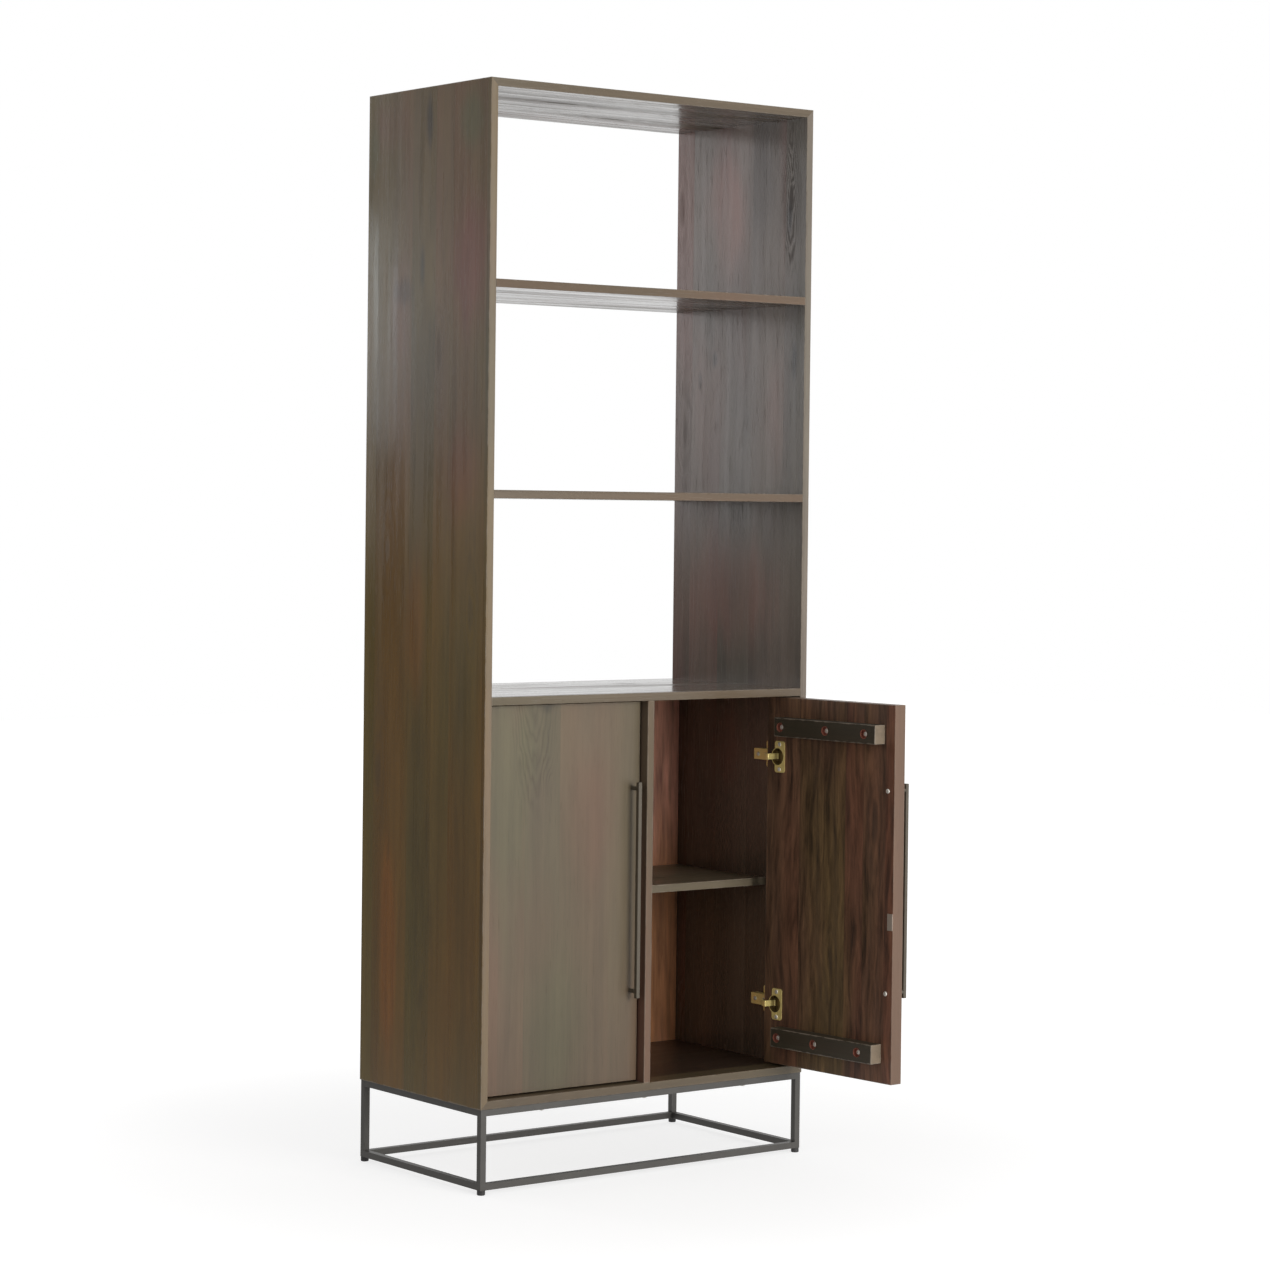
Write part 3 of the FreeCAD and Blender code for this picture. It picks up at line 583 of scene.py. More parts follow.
offset = offset_from(boards, point, given["Heart"], given["Heart size"])
offset = vectors(boards, "MULTIPLY", offset, (1, 0, 1))
heart = total(boards, length_of(boards, offset), swing(boards, wobble, HEART_WOBBLE))
aside = parts_of(boards, offset)
bow = maths(boards, "POWER", maths(boards, "ABSOLUTE", aside[0]), ARCH_DROOP_POWER)
bow = maths(boards, "SUBTRACT", total(boards, aside[2], swing(boards, wobble, ARCH_WOBBLE)),
            product(boards, bow, ARCH_DROOP))
arches = product(boards, maths(boards, "POWER", rings_along(bow, ARCHES), ARCH_SHARPNESS),
                 ramp(boards, heart, *HEART_RAMP))
arches = maths(boards, "MAXIMUM", arches, ramp(boards, heart, *PITH_RAMP))
contour = grain_noise(own, CONTOURS, detail=1.2, roughness=0.4, distortion=0.35)
rings = times(maths(boards, "POWER", rings_along(contour, CONTOUR_RINGS), RING_SHARPNESS), "Figure")
depth = total(boards, rings, times(arches, "Heart amount"), knots, product(boards, pore, PORE_DARK))
depth = maths(boards, "ADD", depth, seam, clamp=True)
fill(boards, result, {"Color": blend(boards, depth, tone, given["Dark"])})
print("nodes with the rings:", len(boards.nodes))

# %% [markdown]
# The lacquer lies unevenly over the grain, so its gloss swings with the streaks, and slow waves in
# its surface break what it mirrors into long streaks.
# %% Gloss and relief
WAVES = (17.0, 2.0)
PORE_ROUGH = 0.1
DARK_ROUGH = 0.4
SMOOTHEST = 0.12
FIBRE_HEIGHT = 0.3
STREAK_HEIGHT = 0.25
WAVE_HEIGHT = 3.0
PORE_HEIGHT = -0.4
DARK_HEIGHT = -0.4

wave = grain_noise(own, WAVES, step=21.0)
uneven = total(boards, swing(boards, streak, 1.0), swing(boards, wave, 1.0))
rough = total(boards, given["Gloss"], product(boards, pore, PORE_ROUGH),
              times(uneven, "Gloss swing"), product(boards, depth, DARK_ROUGH))
heights = [product(boards, value, gain) for value, gain in
           ((fibre, FIBRE_HEIGHT), (streak, STREAK_HEIGHT), (pore, PORE_HEIGHT), (depth, DARK_HEIGHT))]
waves = times(product(boards, wave, WAVE_HEIGHT), "Waves")
fill(boards, result, {"Roughness": maths(boards, "MAXIMUM", rough, SMOOTHEST),
                      "Height": total(boards, *heights, waves)})
print("nodes in the pattern:", len(boards.nodes))

# %% [markdown]
# The finish also depends on where on a board a point lies. On a face of a board, the distance to
# that face is nought, and the middle one of the three distances tells how near the closest edge is.
# From the board's lowest and highest corners, this group gives a mask of rubbed edges, broken up by
# noise, and masks of the faces that look along X, of the rear face and of the front one.
# %% Masks for edges and faces
SKIN = 0.4 * MM
RUBS = (55.0, 30.0)
RUB_SEED = 2.0
RUB_RAMP = (0.3, 0.75, 0.25, 1.6)


def depths(tree, point, low, high):
    """How deep a point lies in a box, from the low corner, from the high one, and the lesser each way."""
    below = vectors(tree, "SUBTRACT", point, low)
    above = vectors(tree, "SUBTRACT", high, point)
    return below, above, parts_of(tree, vectors(tree, "MINIMUM", below, above))


faces, given, result = new_group(
    "Board faces", {"Vector": "Point, Low, High", "Float": "Width"}, {"Float": "Rubbed, Ends, Rear, Front"})
point = given["Point"]
below, above, near = depths(faces, point, given["Low"], given["High"])
small = maths(faces, "MINIMUM", near[0], near[1])
large = maths(faces, "MAXIMUM", near[0], near[1])
middle = maths(faces, "MAXIMUM", small, maths(faces, "MINIMUM", large, near[2]))
patchy = noise(faces, stretched(faces, point, *RUBS), RUB_SEED, roughness=0.6)
reach = product(faces, given["Width"], ramp(faces, patchy, *RUB_RAMP))
rubbed = maths(faces, "SUBTRACT", 1.0, maths(faces, "DIVIDE", middle, reach), clamp=True)
gaps = {"Ends": near[0], "Rear": parts_of(faces, above)[1], "Front": parts_of(faces, below)[1]}
masks = {side: maths(faces, "LESS_THAN", gap, SKIN) for side, gap in gaps.items()}
fill(faces, result, {"Rubbed": rubbed, **masks})
print("masks made with", len(faces.nodes), "nodes")

# %% [markdown]
# A second mask marks what faces the inside of the cupboard, behind the doors, where a second palette takes
# over. It is a plain box between the carcass boards, a hair larger than the hollow, so that the boards'
# inner faces fall in it.
# %% Mask for the inside of the cupboard
left_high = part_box("side_panel_left")[1]
right_low, right_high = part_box("side_panel_right")
deck_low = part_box("deck_panel")[0]
bottom_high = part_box("bottom_panel")[1]
door_high = corners(closed_points("door_panel_right"))[1]
hollow_low = Vector((left_high.x, door_high.y, bottom_high.z)) - Vector((SKIN, SKIN, SKIN))
hollow_high = Vector((right_low.x, right_high.y, deck_low.z)) + Vector((SKIN, SKIN, SKIN))

inside, given, result = new_group("Inside the cupboard", {"Vector": "Point"}, {"Float": "Mask"})
near = depths(inside, given["Point"], hollow_low, hollow_high)[2]
least = maths(inside, "MINIMUM", maths(inside, "MINIMUM", near[0], near[1]), near[2])
fill(inside, result, {"Mask": maths(inside, "GREATER_THAN", least, 0.0)})
print("the cupboard's hollow:", [round(v, 3) for v in hollow_low], [round(v, 3) for v in hollow_high])

# %% [markdown]
# Some stretches of stain lie in known places: the orange-brown stretch low on the outer left side is one.
# This group gives a soft mask round a place, ragged at its border, with which such a stretch is made redder,
# more olive, lighter, darker or glossier. The same mask also puts a painted sheen and a painted shade on the
# upper part of the outer left side.
# %% Mask for patches of stain and of painted light
RAGS = (24.0, 3.0)
RAG_SEED = 5.0
RAG_SWING = 1.1
PATCH_RAMP = (0.25, 1.2, 1.0, 0.0)

patch, given, result = new_group("Stain and painted light patch", {"Vector": "Point, Place, Size"}, {"Float": "Mask"})
point = given["Point"]
offset = offset_from(patch, point, given["Place"], given["Size"])
ragged = noise(patch, stretched(patch, point, *RAGS), RAG_SEED, 3.0, roughness=0.55)
away = total(patch, length_of(patch, offset), swing(patch, ragged, RAG_SWING))
fill(patch, result, {"Mask": ramp(patch, away, *PATCH_RAMP)})
print("patch of stain made with", len(patch.nodes), "nodes")

# %% [markdown]
# One function turns the pattern into a finished wood for one board. It turns the board's own point
# so that the grain runs the right way, and for the open door it first swings the point back to
# where it would be with the door closed, so that both doors are made alike. A second palette takes
# over where a mask says so: inside the cupboard, on the back of a door or on the ends of a batten,
# and the amounts of streaks and marks can change there too. The lacquer is satin, so it mirrors the
# bright studio softly where it is seen at a low angle.
# %% A wood material
GRAIN_UP_FACING_FRONT = (0.0, 0.0, 0.0)
GRAIN_UP_FACING_SIDE = (0.0, 0.0, -90.0)
GRAIN_ACROSS_FLAT = (-90.0, -90.0, 0.0)
GRAIN_ACROSS_FACING_FRONT = (0.0, -90.0, 0.0)
RUBBED_WIDTH = 2.2 * MM
RELIEF = 0.8 * MM
ABOVE_SPAN = (1.0, 1.5)
PALETTE = ("Ground", "Dark", "Red", "Olive")
NO_HEART = {"Heart": (0.0, 0.0, 50.0), "Heart size": (1.0, 1.0, 1.0), "Heart amount": 0.0}
USUAL = {"Red amount": 0.6, "Olive amount": 0.6, "Shade": 0.25, "Streaks": 0.35, "Marks": 0.05,
         "Figure": 0.05, "Knots": 0.6, "Seams": 0.05, "Gloss": 0.34, "Gloss swing": 0.15, "Waves": 0.0,
         "Bend": 0.012}


def turned_back(tree, node_name):
    """The board's point, swung back to the closed door if it belongs to the open one."""
    back = if_on_open_door(node_name, SWING_CLOSED)
    return add(tree, "ShaderNodeMapping",
               {"Vector": add(tree, "ShaderNodeTexCoord").outputs["Object"],
                "Location": back.translation, "Rotation": back.to_euler()}).outputs[0]


def finish_shader(tree, shader, tone, pattern, bump, relief):
    """Gives a shader its colour, and its roughness and relief from a pattern."""
    raised = add(tree, "ShaderNodeBump", {"Strength": bump, "Distance": relief,
                                          "Height": pattern.outputs["Height"]})
    fill(tree, shader, {"Base Color": tone, "Roughness": pattern.outputs["Roughness"],
                        "Normal": raised.outputs["Normal"]})


def assign(node_name, material):
    """Puts a material in every slot of a loaded piece."""
    mesh = frame["nodes"][node_name].data
    mesh.materials.clear()
    mesh.materials.append(material)


def mask_of(tree, where, place, spots):
    """The mask that tells where the second palette takes over."""
    if where == "Inside":
        return add(tree, "ShaderNodeGroup", {"Point": place}, node_tree=inside).outputs["Mask"]
    return spots.outputs[where]


def patched(tree, place, patches, amount):
    """An amount, changed where some patches lie."""
    for spot, size, change in patches:
        mask = add(tree, "ShaderNodeGroup", {"Point": place, "Place": spot, "Size": size}, node_tree=patch)
        amount = total(tree, product(tree, mask.outputs["Mask"], change), amount)
    return amount


def wood(node_name, grain, palette, second=None, where="Inside", there=None, above=None, seed=0.0,
         width=0.09, rub=0.35, front_rub=0.0, bump=0.1, heart=NO_HEART, patches=None, **changes):
    """A stained wood for one board. changes are set in place of the usual amounts, there holds the
    amounts where the second palette takes over, and above is the palette high up on the board."""
    material, tree, shader = new_material(f"wood_{node_name}")
    place = turned_back(tree, node_name)
    low, high = corners(closed_points(node_name))
    limits = {"Point": place, "Low": low, "High": high, "Width": RUBBED_WIDTH}
    spots = add(tree, "ShaderNodeGroup", limits, node_tree=faces)
    values = {**USUAL, **heart, **dict(zip(PALETTE, palette)), "Seed": seed, "Board width": width}
    values.update({label.replace("_", " ").capitalize(): value for label, value in changes.items()})
    if above:
        rise = ramp(tree, parts_of(tree, place)[2], *ABOVE_SPAN)
        for label, tone in zip(PALETTE, above):
            values[label] = blend(tree, rise, values[label], tone)
    if second:
        mask = mask_of(tree, where, place, spots)
        for label, tone in zip(PALETTE, second):
            values[label] = blend(tree, mask, values[label], tone)
        for label, amount in (there or {}).items():
            change = product(tree, mask, amount - values[label])
            values[label] = total(tree, change, values[label])
    for label, listed in (patches or {}).items():
        values[label] = patched(tree, place, listed, values.get(label, 0.0))
    grain_turn = [math.radians(angle) for angle in grain]
    turned = add(tree, "ShaderNodeMapping", {"Vector": place, "Rotation": grain_turn}).outputs[0]
    pattern = add(tree, "ShaderNodeGroup", {**values, "Point": turned}, node_tree=boards)

    worn = product(tree, spots.outputs["Rubbed"], rub)
    worn = maths(tree, "MAXIMUM", worn, product(tree, spots.outputs["Front"], front_rub))
    painted = blend(tree, worn, pattern.outputs["Color"], BARE)
    finish_shader(tree, shader, painted, pattern, bump, RELIEF)
    assign(node_name, material)
    return tree, place, painted


print("usual amounts:", USUAL)

# %% [markdown]
# The outside of the carcass and the doors is a warm grey-brown, with olive boards and a few reddish ones.
# Inside the cupboard the boards take darker palettes of their own, darkest on the cupboard's floor, and the
# backs of the doors are a darker, redder brown. The shelves are glossier and a little wavy, so that they
# mirror in streaks.
# %% Wood for the carcass
def palette_of(*tones):
    """The ground, dark, red and olive tones of a wood."""
    return [colour(*tone) for tone in tones]


BARE = colour(150, 138, 124)
OUTER = palette_of((99, 85, 66), (56, 46, 35), (116, 80, 62), (92, 86, 62))
SIDE = palette_of((104, 84, 34), (58, 47, 24), (138, 88, 28), (92, 82, 44))
SIDE_TOP = palette_of((104, 84, 45), (48, 40, 32), (116, 74, 58), (90, 88, 54))
BAYS = palette_of((110, 98, 88), (52, 44, 38), (134, 94, 84), (100, 100, 88))
INNER = palette_of((90, 79, 68), (44, 37, 31), (106, 70, 58), (86, 82, 64))
INNER_LOW = palette_of((62, 49, 40), (34, 27, 22), (76, 48, 39), (60, 54, 42))
# The back panel's inner face is reddish wood, lightened as painted light, because little light reaches the
# back of the cupboard.
BACK_WITH_PAINTED_LIGHT = palette_of((190, 134, 114), (92, 60, 50), (156, 106, 70), (142, 110, 90))
BACK_REAR = palette_of((92, 76, 60), (54, 44, 34), (112, 78, 60), (88, 80, 58))
SHELF = palette_of((108, 98, 80), (64, 57, 46), (114, 94, 78), (98, 96, 72))
FAR = 9.0
FACE_DEEP = 0.011


# A patch is its middle, how far it reaches along X, Y and Z, and how much it changes.
def side_patches(*rows):
    """Patches on a face that looks along X, from rows with all but the numbers along X."""
    return [((0, y, z), (FAR, deep, tall), change) for y, z, deep, tall, change in rows]


OUTER_PATCHES = {
    "Red patch": side_patches((0.11, 0.42, 0.035, 0.22, 0.9), (0.03, 1.0, 0.04, 0.16, 0.5),
                              (-0.14, 1.67, 0.07, 0.15, 0.8), (0.09, 1.60, 0.035, 0.12, 0.5),
                              (0.13, 1.94, 0.06, 0.06, 0.5), (-0.12, 1.3, 0.06, 0.1, 0.5)),
    "Olive patch": side_patches((-0.10, 0.92, 0.05, 0.2, 0.4), (0.0, 0.38, 0.04, 0.16, 0.2),
                                (-0.14, 1.93, 0.05, 0.06, 0.7), (0.18, 1.90, 0.02, 0.06, 0.5)),
    # Of the light patches, the lift at y -0.02, z 1.65 is a painted sheen. The darkening across the side at
    # z 1.42 is painted shade, which takes back part of the sheen lamp's wash. The others are stain and small
    # dark marks.
    "Light patch": side_patches((-0.004, 1.94, 0.012, 0.06, -0.7), (0.08, 1.63, 0.035, 0.03, -0.5),
                                (0.015, 1.67, 0.010, 0.05, -0.6), (-0.02, 1.65, 0.03, 0.1, 0.25),
                                (-0.12, 0.62, 0.09, 0.45, -0.2), (0.0, 1.42, 0.3, 0.2, -0.2)),
    "Gloss": side_patches((0.175, 1.6, 0.11, 0.9, -0.12)) + [((-0.36, 0, 1.0), (FACE_DEEP, FAR, FAR), 0.25)],
}
BACK_PATCHES = {"Red patch": side_patches((0, 0.30, FAR, 0.36, 1.0))}
BAY_PATCHES = {
    "Gloss": [((0.375, 0, 1.0), (FACE_DEEP, FAR, FAR), 0.25)],
    "Red patch": side_patches((0.04, 1.82, 0.07, 0.14, 0.8), (0.09, 1.42, 0.06, 0.16, 0.7),
                              (-0.12, 1.42, 0.04, 0.16, 0.5), (0.0, 1.08, 0.12, 0.14, 0.9),
                              (0.02, 0.78, 0.05, 0.1, 0.9)),
    "Light patch": side_patches((0.04, 1.82, 0.07, 0.14, 0.25), (-0.06, 1.86, 0.05, 0.1, -0.2),
                                (-0.04, 1.45, 0.06, 0.1, -0.2), (0.0, 1.08, 0.3, 0.14, 0.3),
                                (-0.151, 1.80, 0.010, 0.04, -0.8), (0.074, 1.53, 0.010, 0.02, -0.7),
                                (0.121, 1.49, 0.008, 0.02, -0.6), (-0.17, 1.52, 0.010, 0.04, -0.6)),
}
SIDE_HEART = {"Heart": (-0.155, 0.0, 1.84), "Heart size": (0.03, 1.0, 0.15), "Heart amount": 0.65}

wood("side_panel_left", GRAIN_UP_FACING_SIDE, SIDE, INNER, above=SIDE_TOP, seed=1.3, width=0.085,
     red_amount=0.4, olive_amount=0.4, shade=0.5, marks=0.2, gloss=0.28, streaks=0.3, gloss_swing=0.35,
     knots=0.5, rub=0.8, front_rub=0.33, bump=0.05, patches=OUTER_PATCHES)
wood("side_panel_right", GRAIN_UP_FACING_SIDE, BAYS, INNER, seed=4.2, width=0.085, red_amount=0.8,
     olive_amount=0.5, shade=0.9, marks=0.2, gloss=0.25, streaks=0.12, knots=0.3, figure=0.0, bend=0.03,
     rub=0.8, front_rub=0.33, bump=0.03, heart=SIDE_HEART, patches=BAY_PATCHES)
for number, name in enumerate(("top_panel", "upper_shelf", "middle_shelf", "deck_panel")):
    gloss = 0.13 if name == "deck_panel" else 0.22
    wood(name, GRAIN_ACROSS_FLAT, OUTER, seed=4.1 + 1.7 * number, red_amount=0.5, olive_amount=0.5,
         gloss=gloss, gloss_swing=0.6, waves=2.6, bump=0.35, rub=0.5, front_rub=0.1)
wood("bottom_panel", GRAIN_ACROSS_FLAT, OUTER, INNER_LOW, seed=10.9, red_amount=0.5, olive_amount=0.5)
wood("centre_divider", GRAIN_UP_FACING_SIDE, OUTER, INNER, "Ends", seed=8.8, width=0.085, rub=0.5,
     red_amount=0.7, olive_amount=0.4)
wood("back_panel", GRAIN_UP_FACING_FRONT, BACK_WITH_PAINTED_LIGHT, BACK_REAR, "Rear", {"Shade": 0.3, "Marks": 0.2}, seed=5.6,
     red_amount=0.2, olive_amount=0.5, shade=0.8, streaks=0.5, marks=0.7, gloss=0.45, patches=BACK_PATCHES)
for number, name in enumerate(("inner_shelf_left", "inner_shelf_right")):
    wood(name, GRAIN_ACROSS_FLAT, SHELF, seed=9.4 + 1.1 * number, red_amount=0.2, olive_amount=0.9,
         gloss=0.4, rub=0.6)
print("carcass boards finished")

# %% [markdown]
# The right door is a shade redder than the left, and the backs of both are rough old wood with long
# streaks and short broken marks. The battens are stained nearly black with light rubbed edges and pale
# ends. Their screws sit in bores, which were drilled after staining, so raw reddish wood shows in
# them. The bores are found from the screws' own lines.
# %% Wood for the doors and the battens
DOOR_RIGHT = palette_of((110, 89, 71), (60, 47, 38), (118, 86, 70), (100, 87, 67))
DOOR_BACK = palette_of((104, 78, 58), (42, 30, 23), (110, 68, 52), (104, 84, 54))
BATTEN = palette_of((56, 49, 36), (30, 26, 20), (68, 46, 36), (48, 50, 36))
BATTEN_END = palette_of((128, 114, 96), (92, 80, 66), (132, 104, 88), (116, 108, 88))
RAW_BORE = colour(142, 84, 68)
OLD_BACK = {"Red amount": 0.7, "Olive amount": 0.9, "Shade": 0.6, "Marks": 1.3, "Figure": 0.25,
            "Knots": 0.7, "Seams": 0.2, "Gloss": 0.46, "Bend": 0.06, "Heart amount": 0.0}
BORE_SEARCH = 12 * MM
BORE_SKIN = 0.5 * MM


def front_patches(*rows):
    """Patches on a door, from rows with all but the numbers along Y."""
    return [((x, 0, z), (wide, FAR, tall), change) for x, z, wide, tall, change in rows]


DOOR_PATCHES = {
    "Olive patch": front_patches((-0.31, 0.72, 0.07, 0.3, 0.9), (-0.20, 0.30, 0.08, 0.15, 0.4),
                                 (-0.24, 0.82, 0.04, 0.1, 0.5)),
    "Red patch": front_patches((-0.12, 0.66, 0.06, 0.14, 0.3), (-0.24, 0.42, 0.05, 0.2, 0.3)),
    "Light patch": front_patches((-0.06, 0.60, 0.02, 0.14, 0.12), (-0.22, 0.86, 0.3, 0.16, 0.07),
                                 (-0.2, 0.22, 0.3, 0.12, -0.08), (-0.224, 0.875, 0.02, 0.018, -0.4)),
}
DOOR_HEART = {"Heart": (-0.25, 0.0, 0.85), "Heart size": (0.055, 1.0, 0.18), "Heart amount": 0.32}


def bore_lines(side, low, high):
    """Where the screws of one batten stand, across and up the door."""
    lines = []
    for points in solids_of(f"batten_screws_{side}"):
        seat = measure_screw(points)[0]
        if low.z < seat.z < high.z:
            lines.append((seat.x, 0.0, seat.z))
    return lines


def bore_radius(node_name, line):
    """The bore's radius, from the batten's own points round a screw's line."""
    spans = [(Vector((point.x, 0, point.z)) - Vector(line)).length for point in closed_points(node_name)]
    return max(span for span in spans if span < BORE_SEARCH)


def batten_wood(level, side, seed):
    """A batten's wood, with raw wood in its bores."""
    node_name = f"door_batten_{level}_{side}"
    tree, place, painted = wood(node_name, GRAIN_ACROSS_FACING_FRONT, BATTEN, BATTEN_END, "Ends",
                                seed=seed, width=0.05, rub=0.9, red_amount=0.3, olive_amount=0.5,
                                gloss=0.52, streaks=0.5)
    flattened = vectors(tree, "MULTIPLY", place, (1, 0, 1))
    low, high = corners(closed_points(node_name))
    lines = bore_lines(side, low, high)
    nearest = None
    for line in lines:
        away = length_of(tree, vectors(tree, "SUBTRACT", flattened, line))
        nearest = away if nearest is None else maths(tree, "MINIMUM", nearest, away)
    edge = bore_radius(node_name, lines[0]) + BORE_SKIN
    painted = blend(tree, maths(tree, "LESS_THAN", nearest, edge), painted, RAW_BORE)
    fill(tree, tree.nodes["Principled BSDF"], {"Base Color": painted})
    return edge


wood("door_panel_left", GRAIN_UP_FACING_FRONT, OUTER, DOOR_BACK, "Rear", OLD_BACK, seed=2.2,
     width=0.085, red_amount=0.35, olive_amount=0.4, shade=0.35, marks=0.1, knots=0.1, gloss=0.4,
     heart=DOOR_HEART, patches=DOOR_PATCHES)
wood("door_panel_right", GRAIN_UP_FACING_FRONT, DOOR_RIGHT, DOOR_BACK, "Rear", OLD_BACK, seed=7.7,
     width=0.06, red_amount=0.4, olive_amount=0.5, knots=0.4, gloss=0.4)
for side in ("left", "right"):
    for number, level in enumerate(("lower", "upper")):
        edge = batten_wood(level, side, 3.3 + number)
print("raw wood within", round(edge / MM, 1), "mm of each batten screw")

# %% [markdown]
# Metals and plastics share one simple finish: a colour with faint clouding, a roughness that
# wanders a little, and a fine grain in the surface. One group makes it, and each material sets its
# own values.
# %% A worked surface for metal and plastic
CLOUDS_WIDE = 28.0
FINE_SWING = 0.6
CLOUD_ROUGH = 0.25
SEED_PER_LETTER = 0.7
METAL_RELIEF = 0.2 * MM
BRASS = ((252, 230, 150), 0.25, 0.3, 0.25)

surface, given, result = new_group(
    "Worked surface",
    {"Vector": "Point", "Color": "Tone", "Float": "Seed, Clouding, Roughness, Grain size"},
    {"Color": "Color", "Float": "Roughness, Height"})
point = given["Point"]
wide = noise(surface, scaled(surface, point, CLOUDS_WIDE), given["Seed"], 3.0, roughness=0.6)
fine = noise(surface, scaled(surface, point, given["Grain size"]), given["Seed"], roughness=0.6)
uneven = total(surface, swing(surface, wide, 1.0), swing(surface, fine, FINE_SWING))
uneven = product(surface, uneven, given["Clouding"])
spread = product(surface, uneven, CLOUD_ROUGH)
fill(surface, result, {"Color": scaled(surface, given["Tone"], total(surface, 1.0, uneven)),
                       "Roughness": total(surface, given["Roughness"], spread), "Height": fine})


def worked(name, tone, metallic, roughness, clouding, grain_size=900.0, bump=0.08):
    """A metal or plastic finish, its tone given as it looks on a screen."""
    material, tree, shader = new_material(name)
    fill(tree, shader, {"Metallic": metallic})
    place = add(tree, "ShaderNodeTexCoord").outputs["Object"]
    values = {"Point": place, "Seed": len(name) * SEED_PER_LETTER, "Tone": colour(*tone),
              "Clouding": clouding, "Roughness": roughness, "Grain size": grain_size}
    finish = add(tree, "ShaderNodeGroup", values, node_tree=surface)
    finish_shader(tree, shader, finish.outputs["Color"], finish, bump, METAL_RELIEF)
    return material


# Each finish has its name, its tone, how metallic, how rough and how clouded it is.
FINISHES = {
    "frame_metal": ("gunmetal_paint", (84, 82, 79), 0.35, 0.46, 0.35),
    "handle_metal": ("bronze_paint", (92, 85, 74), 0.4, 0.42, 0.3),
    "hinge_brass": ("brass_plate", *BRASS),
    "screw_steel": ("zinc_screws", (228, 224, 216), 0.45, 0.36, 0.2),
    "strike_steel": ("dull_zinc", (178, 166, 154), 0.5, 0.45, 0.3),
    "catch_plastic": ("brown_plastic", (62, 56, 50), 0.0, 0.5, 0.2),
    "magnet": ("ferrite", (90, 90, 90), 0.6, 0.55, 0.3),
    "foot_plastic": ("black_plastic", (46, 45, 44), 0.0, 0.5, 0.2),
    "raw_wood": ("plain_beech", (190, 165, 128), 0.0, 0.6, 0.3, 300.0),
}
finishes = {slot_name: worked(*row) for slot_name, row in FINISHES.items()}
slots = {entry["node"]: entry["material_slot"] for entry in frame["record"]["subparts"]}
for node_name, slot_name in slots.items():
    if slot_name in finishes:
        assign(node_name, finishes[slot_name])
print("metals finished")

# %% [markdown]
# The hinge cups are open bowls sunk in the doors, and little light reaches down into them. So below the
# door's inner face their brass gives way to a dark tone, which is painted shade.
# %% Painted shade inside the hinge cups
CUP_PAINTED_SHADE = colour(118, 98, 58)

for side in ("left", "right"):
    node_name = f"hinge_cups_{side}"
    material = worked(f"brass_cup_{side}", *BRASS)
    tree = material.node_tree
    level = parts_of(tree, turned_back(tree, node_name))[1]
    # Below the door's inner face lies the cup's bowl, where the brass takes the painted shade.
    in_shaded_cup = maths(tree, "LESS_THAN", level, door_high.y - SKIN)
    shader = tree.nodes["Principled BSDF"]
    plated = shader.inputs["Base Color"].links[0].from_socket
    fill(tree, shader, {"Base Color": blend(tree, in_shaded_cup, plated, CUP_PAINTED_SHADE)})
    assign(node_name, material)
print("cups darkened below", round(door_high.y, 4))

# %% [markdown]
# A cross-head screw starts as a short cylinder, the head. Its top rim is bevelled into a dome, its
# underside is inset to the shank's size and pushed down twice, once for the shank and once for the
# point, and the cross is cut with two thin blocks.
# %% Model a cross-head screw
POINT_SHARE = 0.16
TIP_WIDTH_SHARE = 0.15
DOME_SHARE = 0.75
DOME_STEPS = 3
HEAD_SIDES = 24
STRAIGHT_ON = 0.9
CROSS_LENGTH_SHARE = 1.15
CROSS_WIDTH_SHARE = 0.26
CROSS_DEPTH_SHARE = 1.1


def pick_faces(piece, wanted):
    """Selects the faces of a piece in Edit Mode for which a test holds."""
    shape = bmesh.from_edit_mesh(piece.data)
    for face in shape.faces:
        face.select_set(bool(wanted(face)))
    bmesh.update_edit_mesh(piece.data)


def cut_with_block(piece, place, size, turn):
    """Cuts a straight block out of a piece."""
    bpy.ops.mesh.primitive_cube_add(size=1, location=place, rotation=(0, 0, turn))
    block = bpy.context.object
    block.scale = size
    modifier = piece.modifiers.new("cut", "BOOLEAN")
    modifier.object = block
    modifier.operation = "DIFFERENCE"
    modifier.solver = "EXACT"
    bpy.context.view_layer.objects.active = piece
    bpy.ops.object.modifier_apply(modifier=modifier.name)
    bpy.data.objects.remove(block)


def cross_head_screw(head_radius, head_height, shank_radius, length):
    """A screw with its seat at the origin and its head towards +Z."""
    bpy.ops.mesh.primitive_cylinder_add(vertices=HEAD_SIDES, radius=head_radius, depth=head_height,
                                        location=(0, 0, head_height / 2))
    screw = bpy.context.object
    bpy.ops.object.transform_apply(location=True, rotation=True, scale=True)
    bpy.ops.object.mode_set(mode="EDIT")
    bpy.ops.mesh.select_mode(type="FACE")
    pick_faces(screw, lambda face: face.normal.z > STRAIGHT_ON)
    bpy.ops.mesh.bevel(offset=head_height * DOME_SHARE, segments=DOME_STEPS, affect="EDGES")
    pick_faces(screw, lambda face: face.normal.z < -STRAIGHT_ON)
    bpy.ops.mesh.inset(thickness=head_radius - shank_radius)
    point_length = length * POINT_SHARE
    bpy.ops.mesh.extrude_region_move(TRANSFORM_OT_translate={"value": (0, 0, point_length - length)})
    bpy.ops.mesh.extrude_region_move(TRANSFORM_OT_translate={"value": (0, 0, -point_length)})
    bpy.ops.transform.resize(value=(TIP_WIDTH_SHARE, TIP_WIDTH_SHARE, TIP_WIDTH_SHARE))
    bpy.ops.object.mode_set(mode="OBJECT")
    size = (head_radius * CROSS_LENGTH_SHARE, head_radius * CROSS_WIDTH_SHARE,
            head_height * CROSS_DEPTH_SHARE)
    for turn in (0, math.radians(90)):
        cut_with_block(screw, (0, 0, head_height), size, turn)
    return screw


print("faces of a screw:", len(cross_head_screw(*sizes).data.polygons))
bpy.data.objects.remove(bpy.context.object)

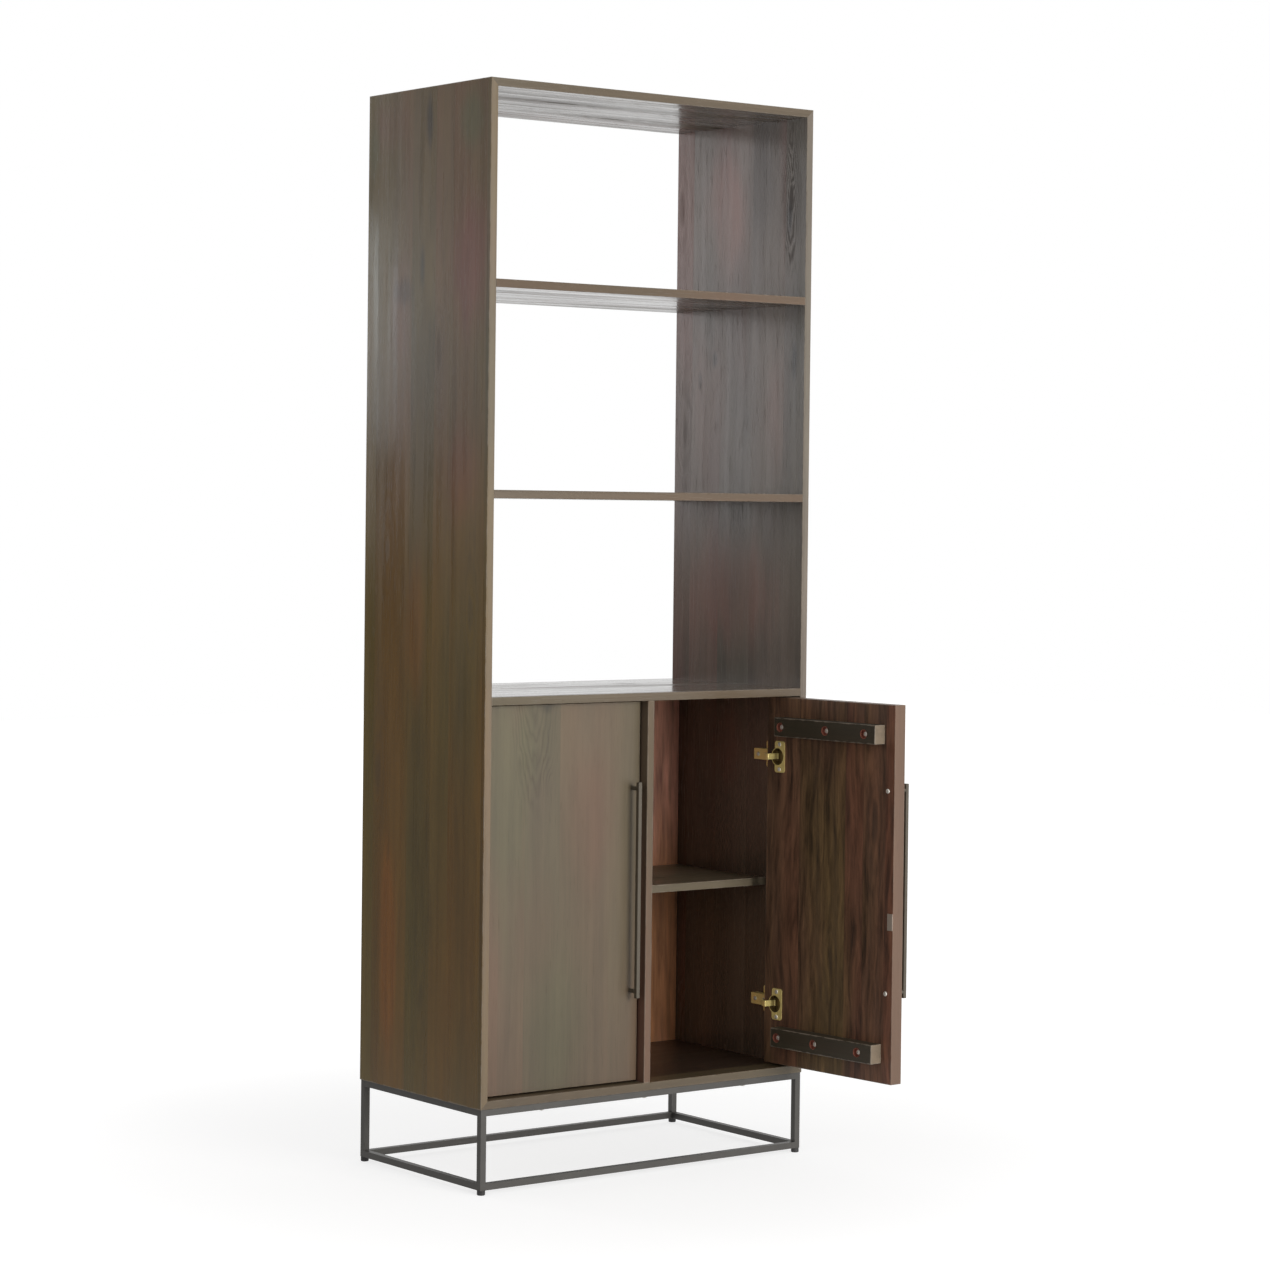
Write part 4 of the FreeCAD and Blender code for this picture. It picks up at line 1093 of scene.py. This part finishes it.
# %% [markdown]
# Every node of screws is then swapped for modelled ones. One screw is made for each node and
# duplicated to the other places, each with its cross at an angle of its own, as a driver leaves them.
# The screws of a node are joined, and those of the open door are swung out with it.
# %% Set the screws
TURN_STEP = math.radians(37)
SHARP_FROM = math.radians(35)


def select_only(pieces):
    """Selects some pieces and makes the first one active."""
    bpy.ops.object.select_all(action="DESELECT")
    for piece in pieces:
        piece.select_set(True)
    bpy.context.view_layer.objects.active = pieces[0]


def copy_to(master, place, way, turn):
    """Duplicates a piece and stands the copy at a place, its own Z along a way."""
    select_only([master])
    bpy.ops.object.duplicate()
    piece = bpy.context.object
    stand = way.to_track_quat("Z", "Y").to_matrix() @ Matrix.Rotation(turn, 3, "Z")
    piece.matrix_world = Matrix.Translation(place) @ stand.to_4x4()
    return piece


def join_pieces(pieces, name, move):
    """Joins pieces into one, moves it, and leaves it at the origin with its move applied."""
    select_only(pieces)
    if len(pieces) > 1:
        bpy.ops.object.join()
    joined = bpy.context.object
    joined.name = name
    joined.matrix_world = move @ joined.matrix_world
    bpy.ops.object.transform_apply(location=True, rotation=True, scale=True)
    bpy.ops.object.shade_smooth_by_angle(angle=SHARP_FROM)
    bpy.ops.object.select_all(action="DESELECT")
    return joined


def hand_over(piece, node_name):
    """Gives a modelled piece the body and the finish of the loaded one it stands for, and hides that one."""
    piece.data.materials.clear()
    piece.data.materials.append(finishes[slots[node_name]])
    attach(piece, frame["nodes"][node_name]["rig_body"])
    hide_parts(node_name)


def set_screws(node_name):
    """Swaps a loaded node of screws for modelled ones."""
    screws = [measure_screw(points) for points in solids_of(node_name)]
    master = cross_head_screw(*screws[0][2:])
    copies = []
    for number, screw in enumerate(screws):
        seat, way = screw[:2]
        copies.append(copy_to(master, seat, way, TURN_STEP * number))
    bpy.data.objects.remove(master)
    move = if_on_open_door(node_name, SWING_OPEN)
    hand_over(join_pieces(copies, f"{node_name}_cross_head", move), node_name)
    return len(copies)


screw_nodes = ["base_screws", "hinge_plate_screws", "hinge_arm_screws", "catch_screws"]
for side in ("left", "right"):
    screw_nodes += [f"batten_screws_{side}", f"handle_screws_{side}", f"hinge_cup_screws_{side}"]
print("screws set:", sum(set_screws(name) for name in screw_nodes))
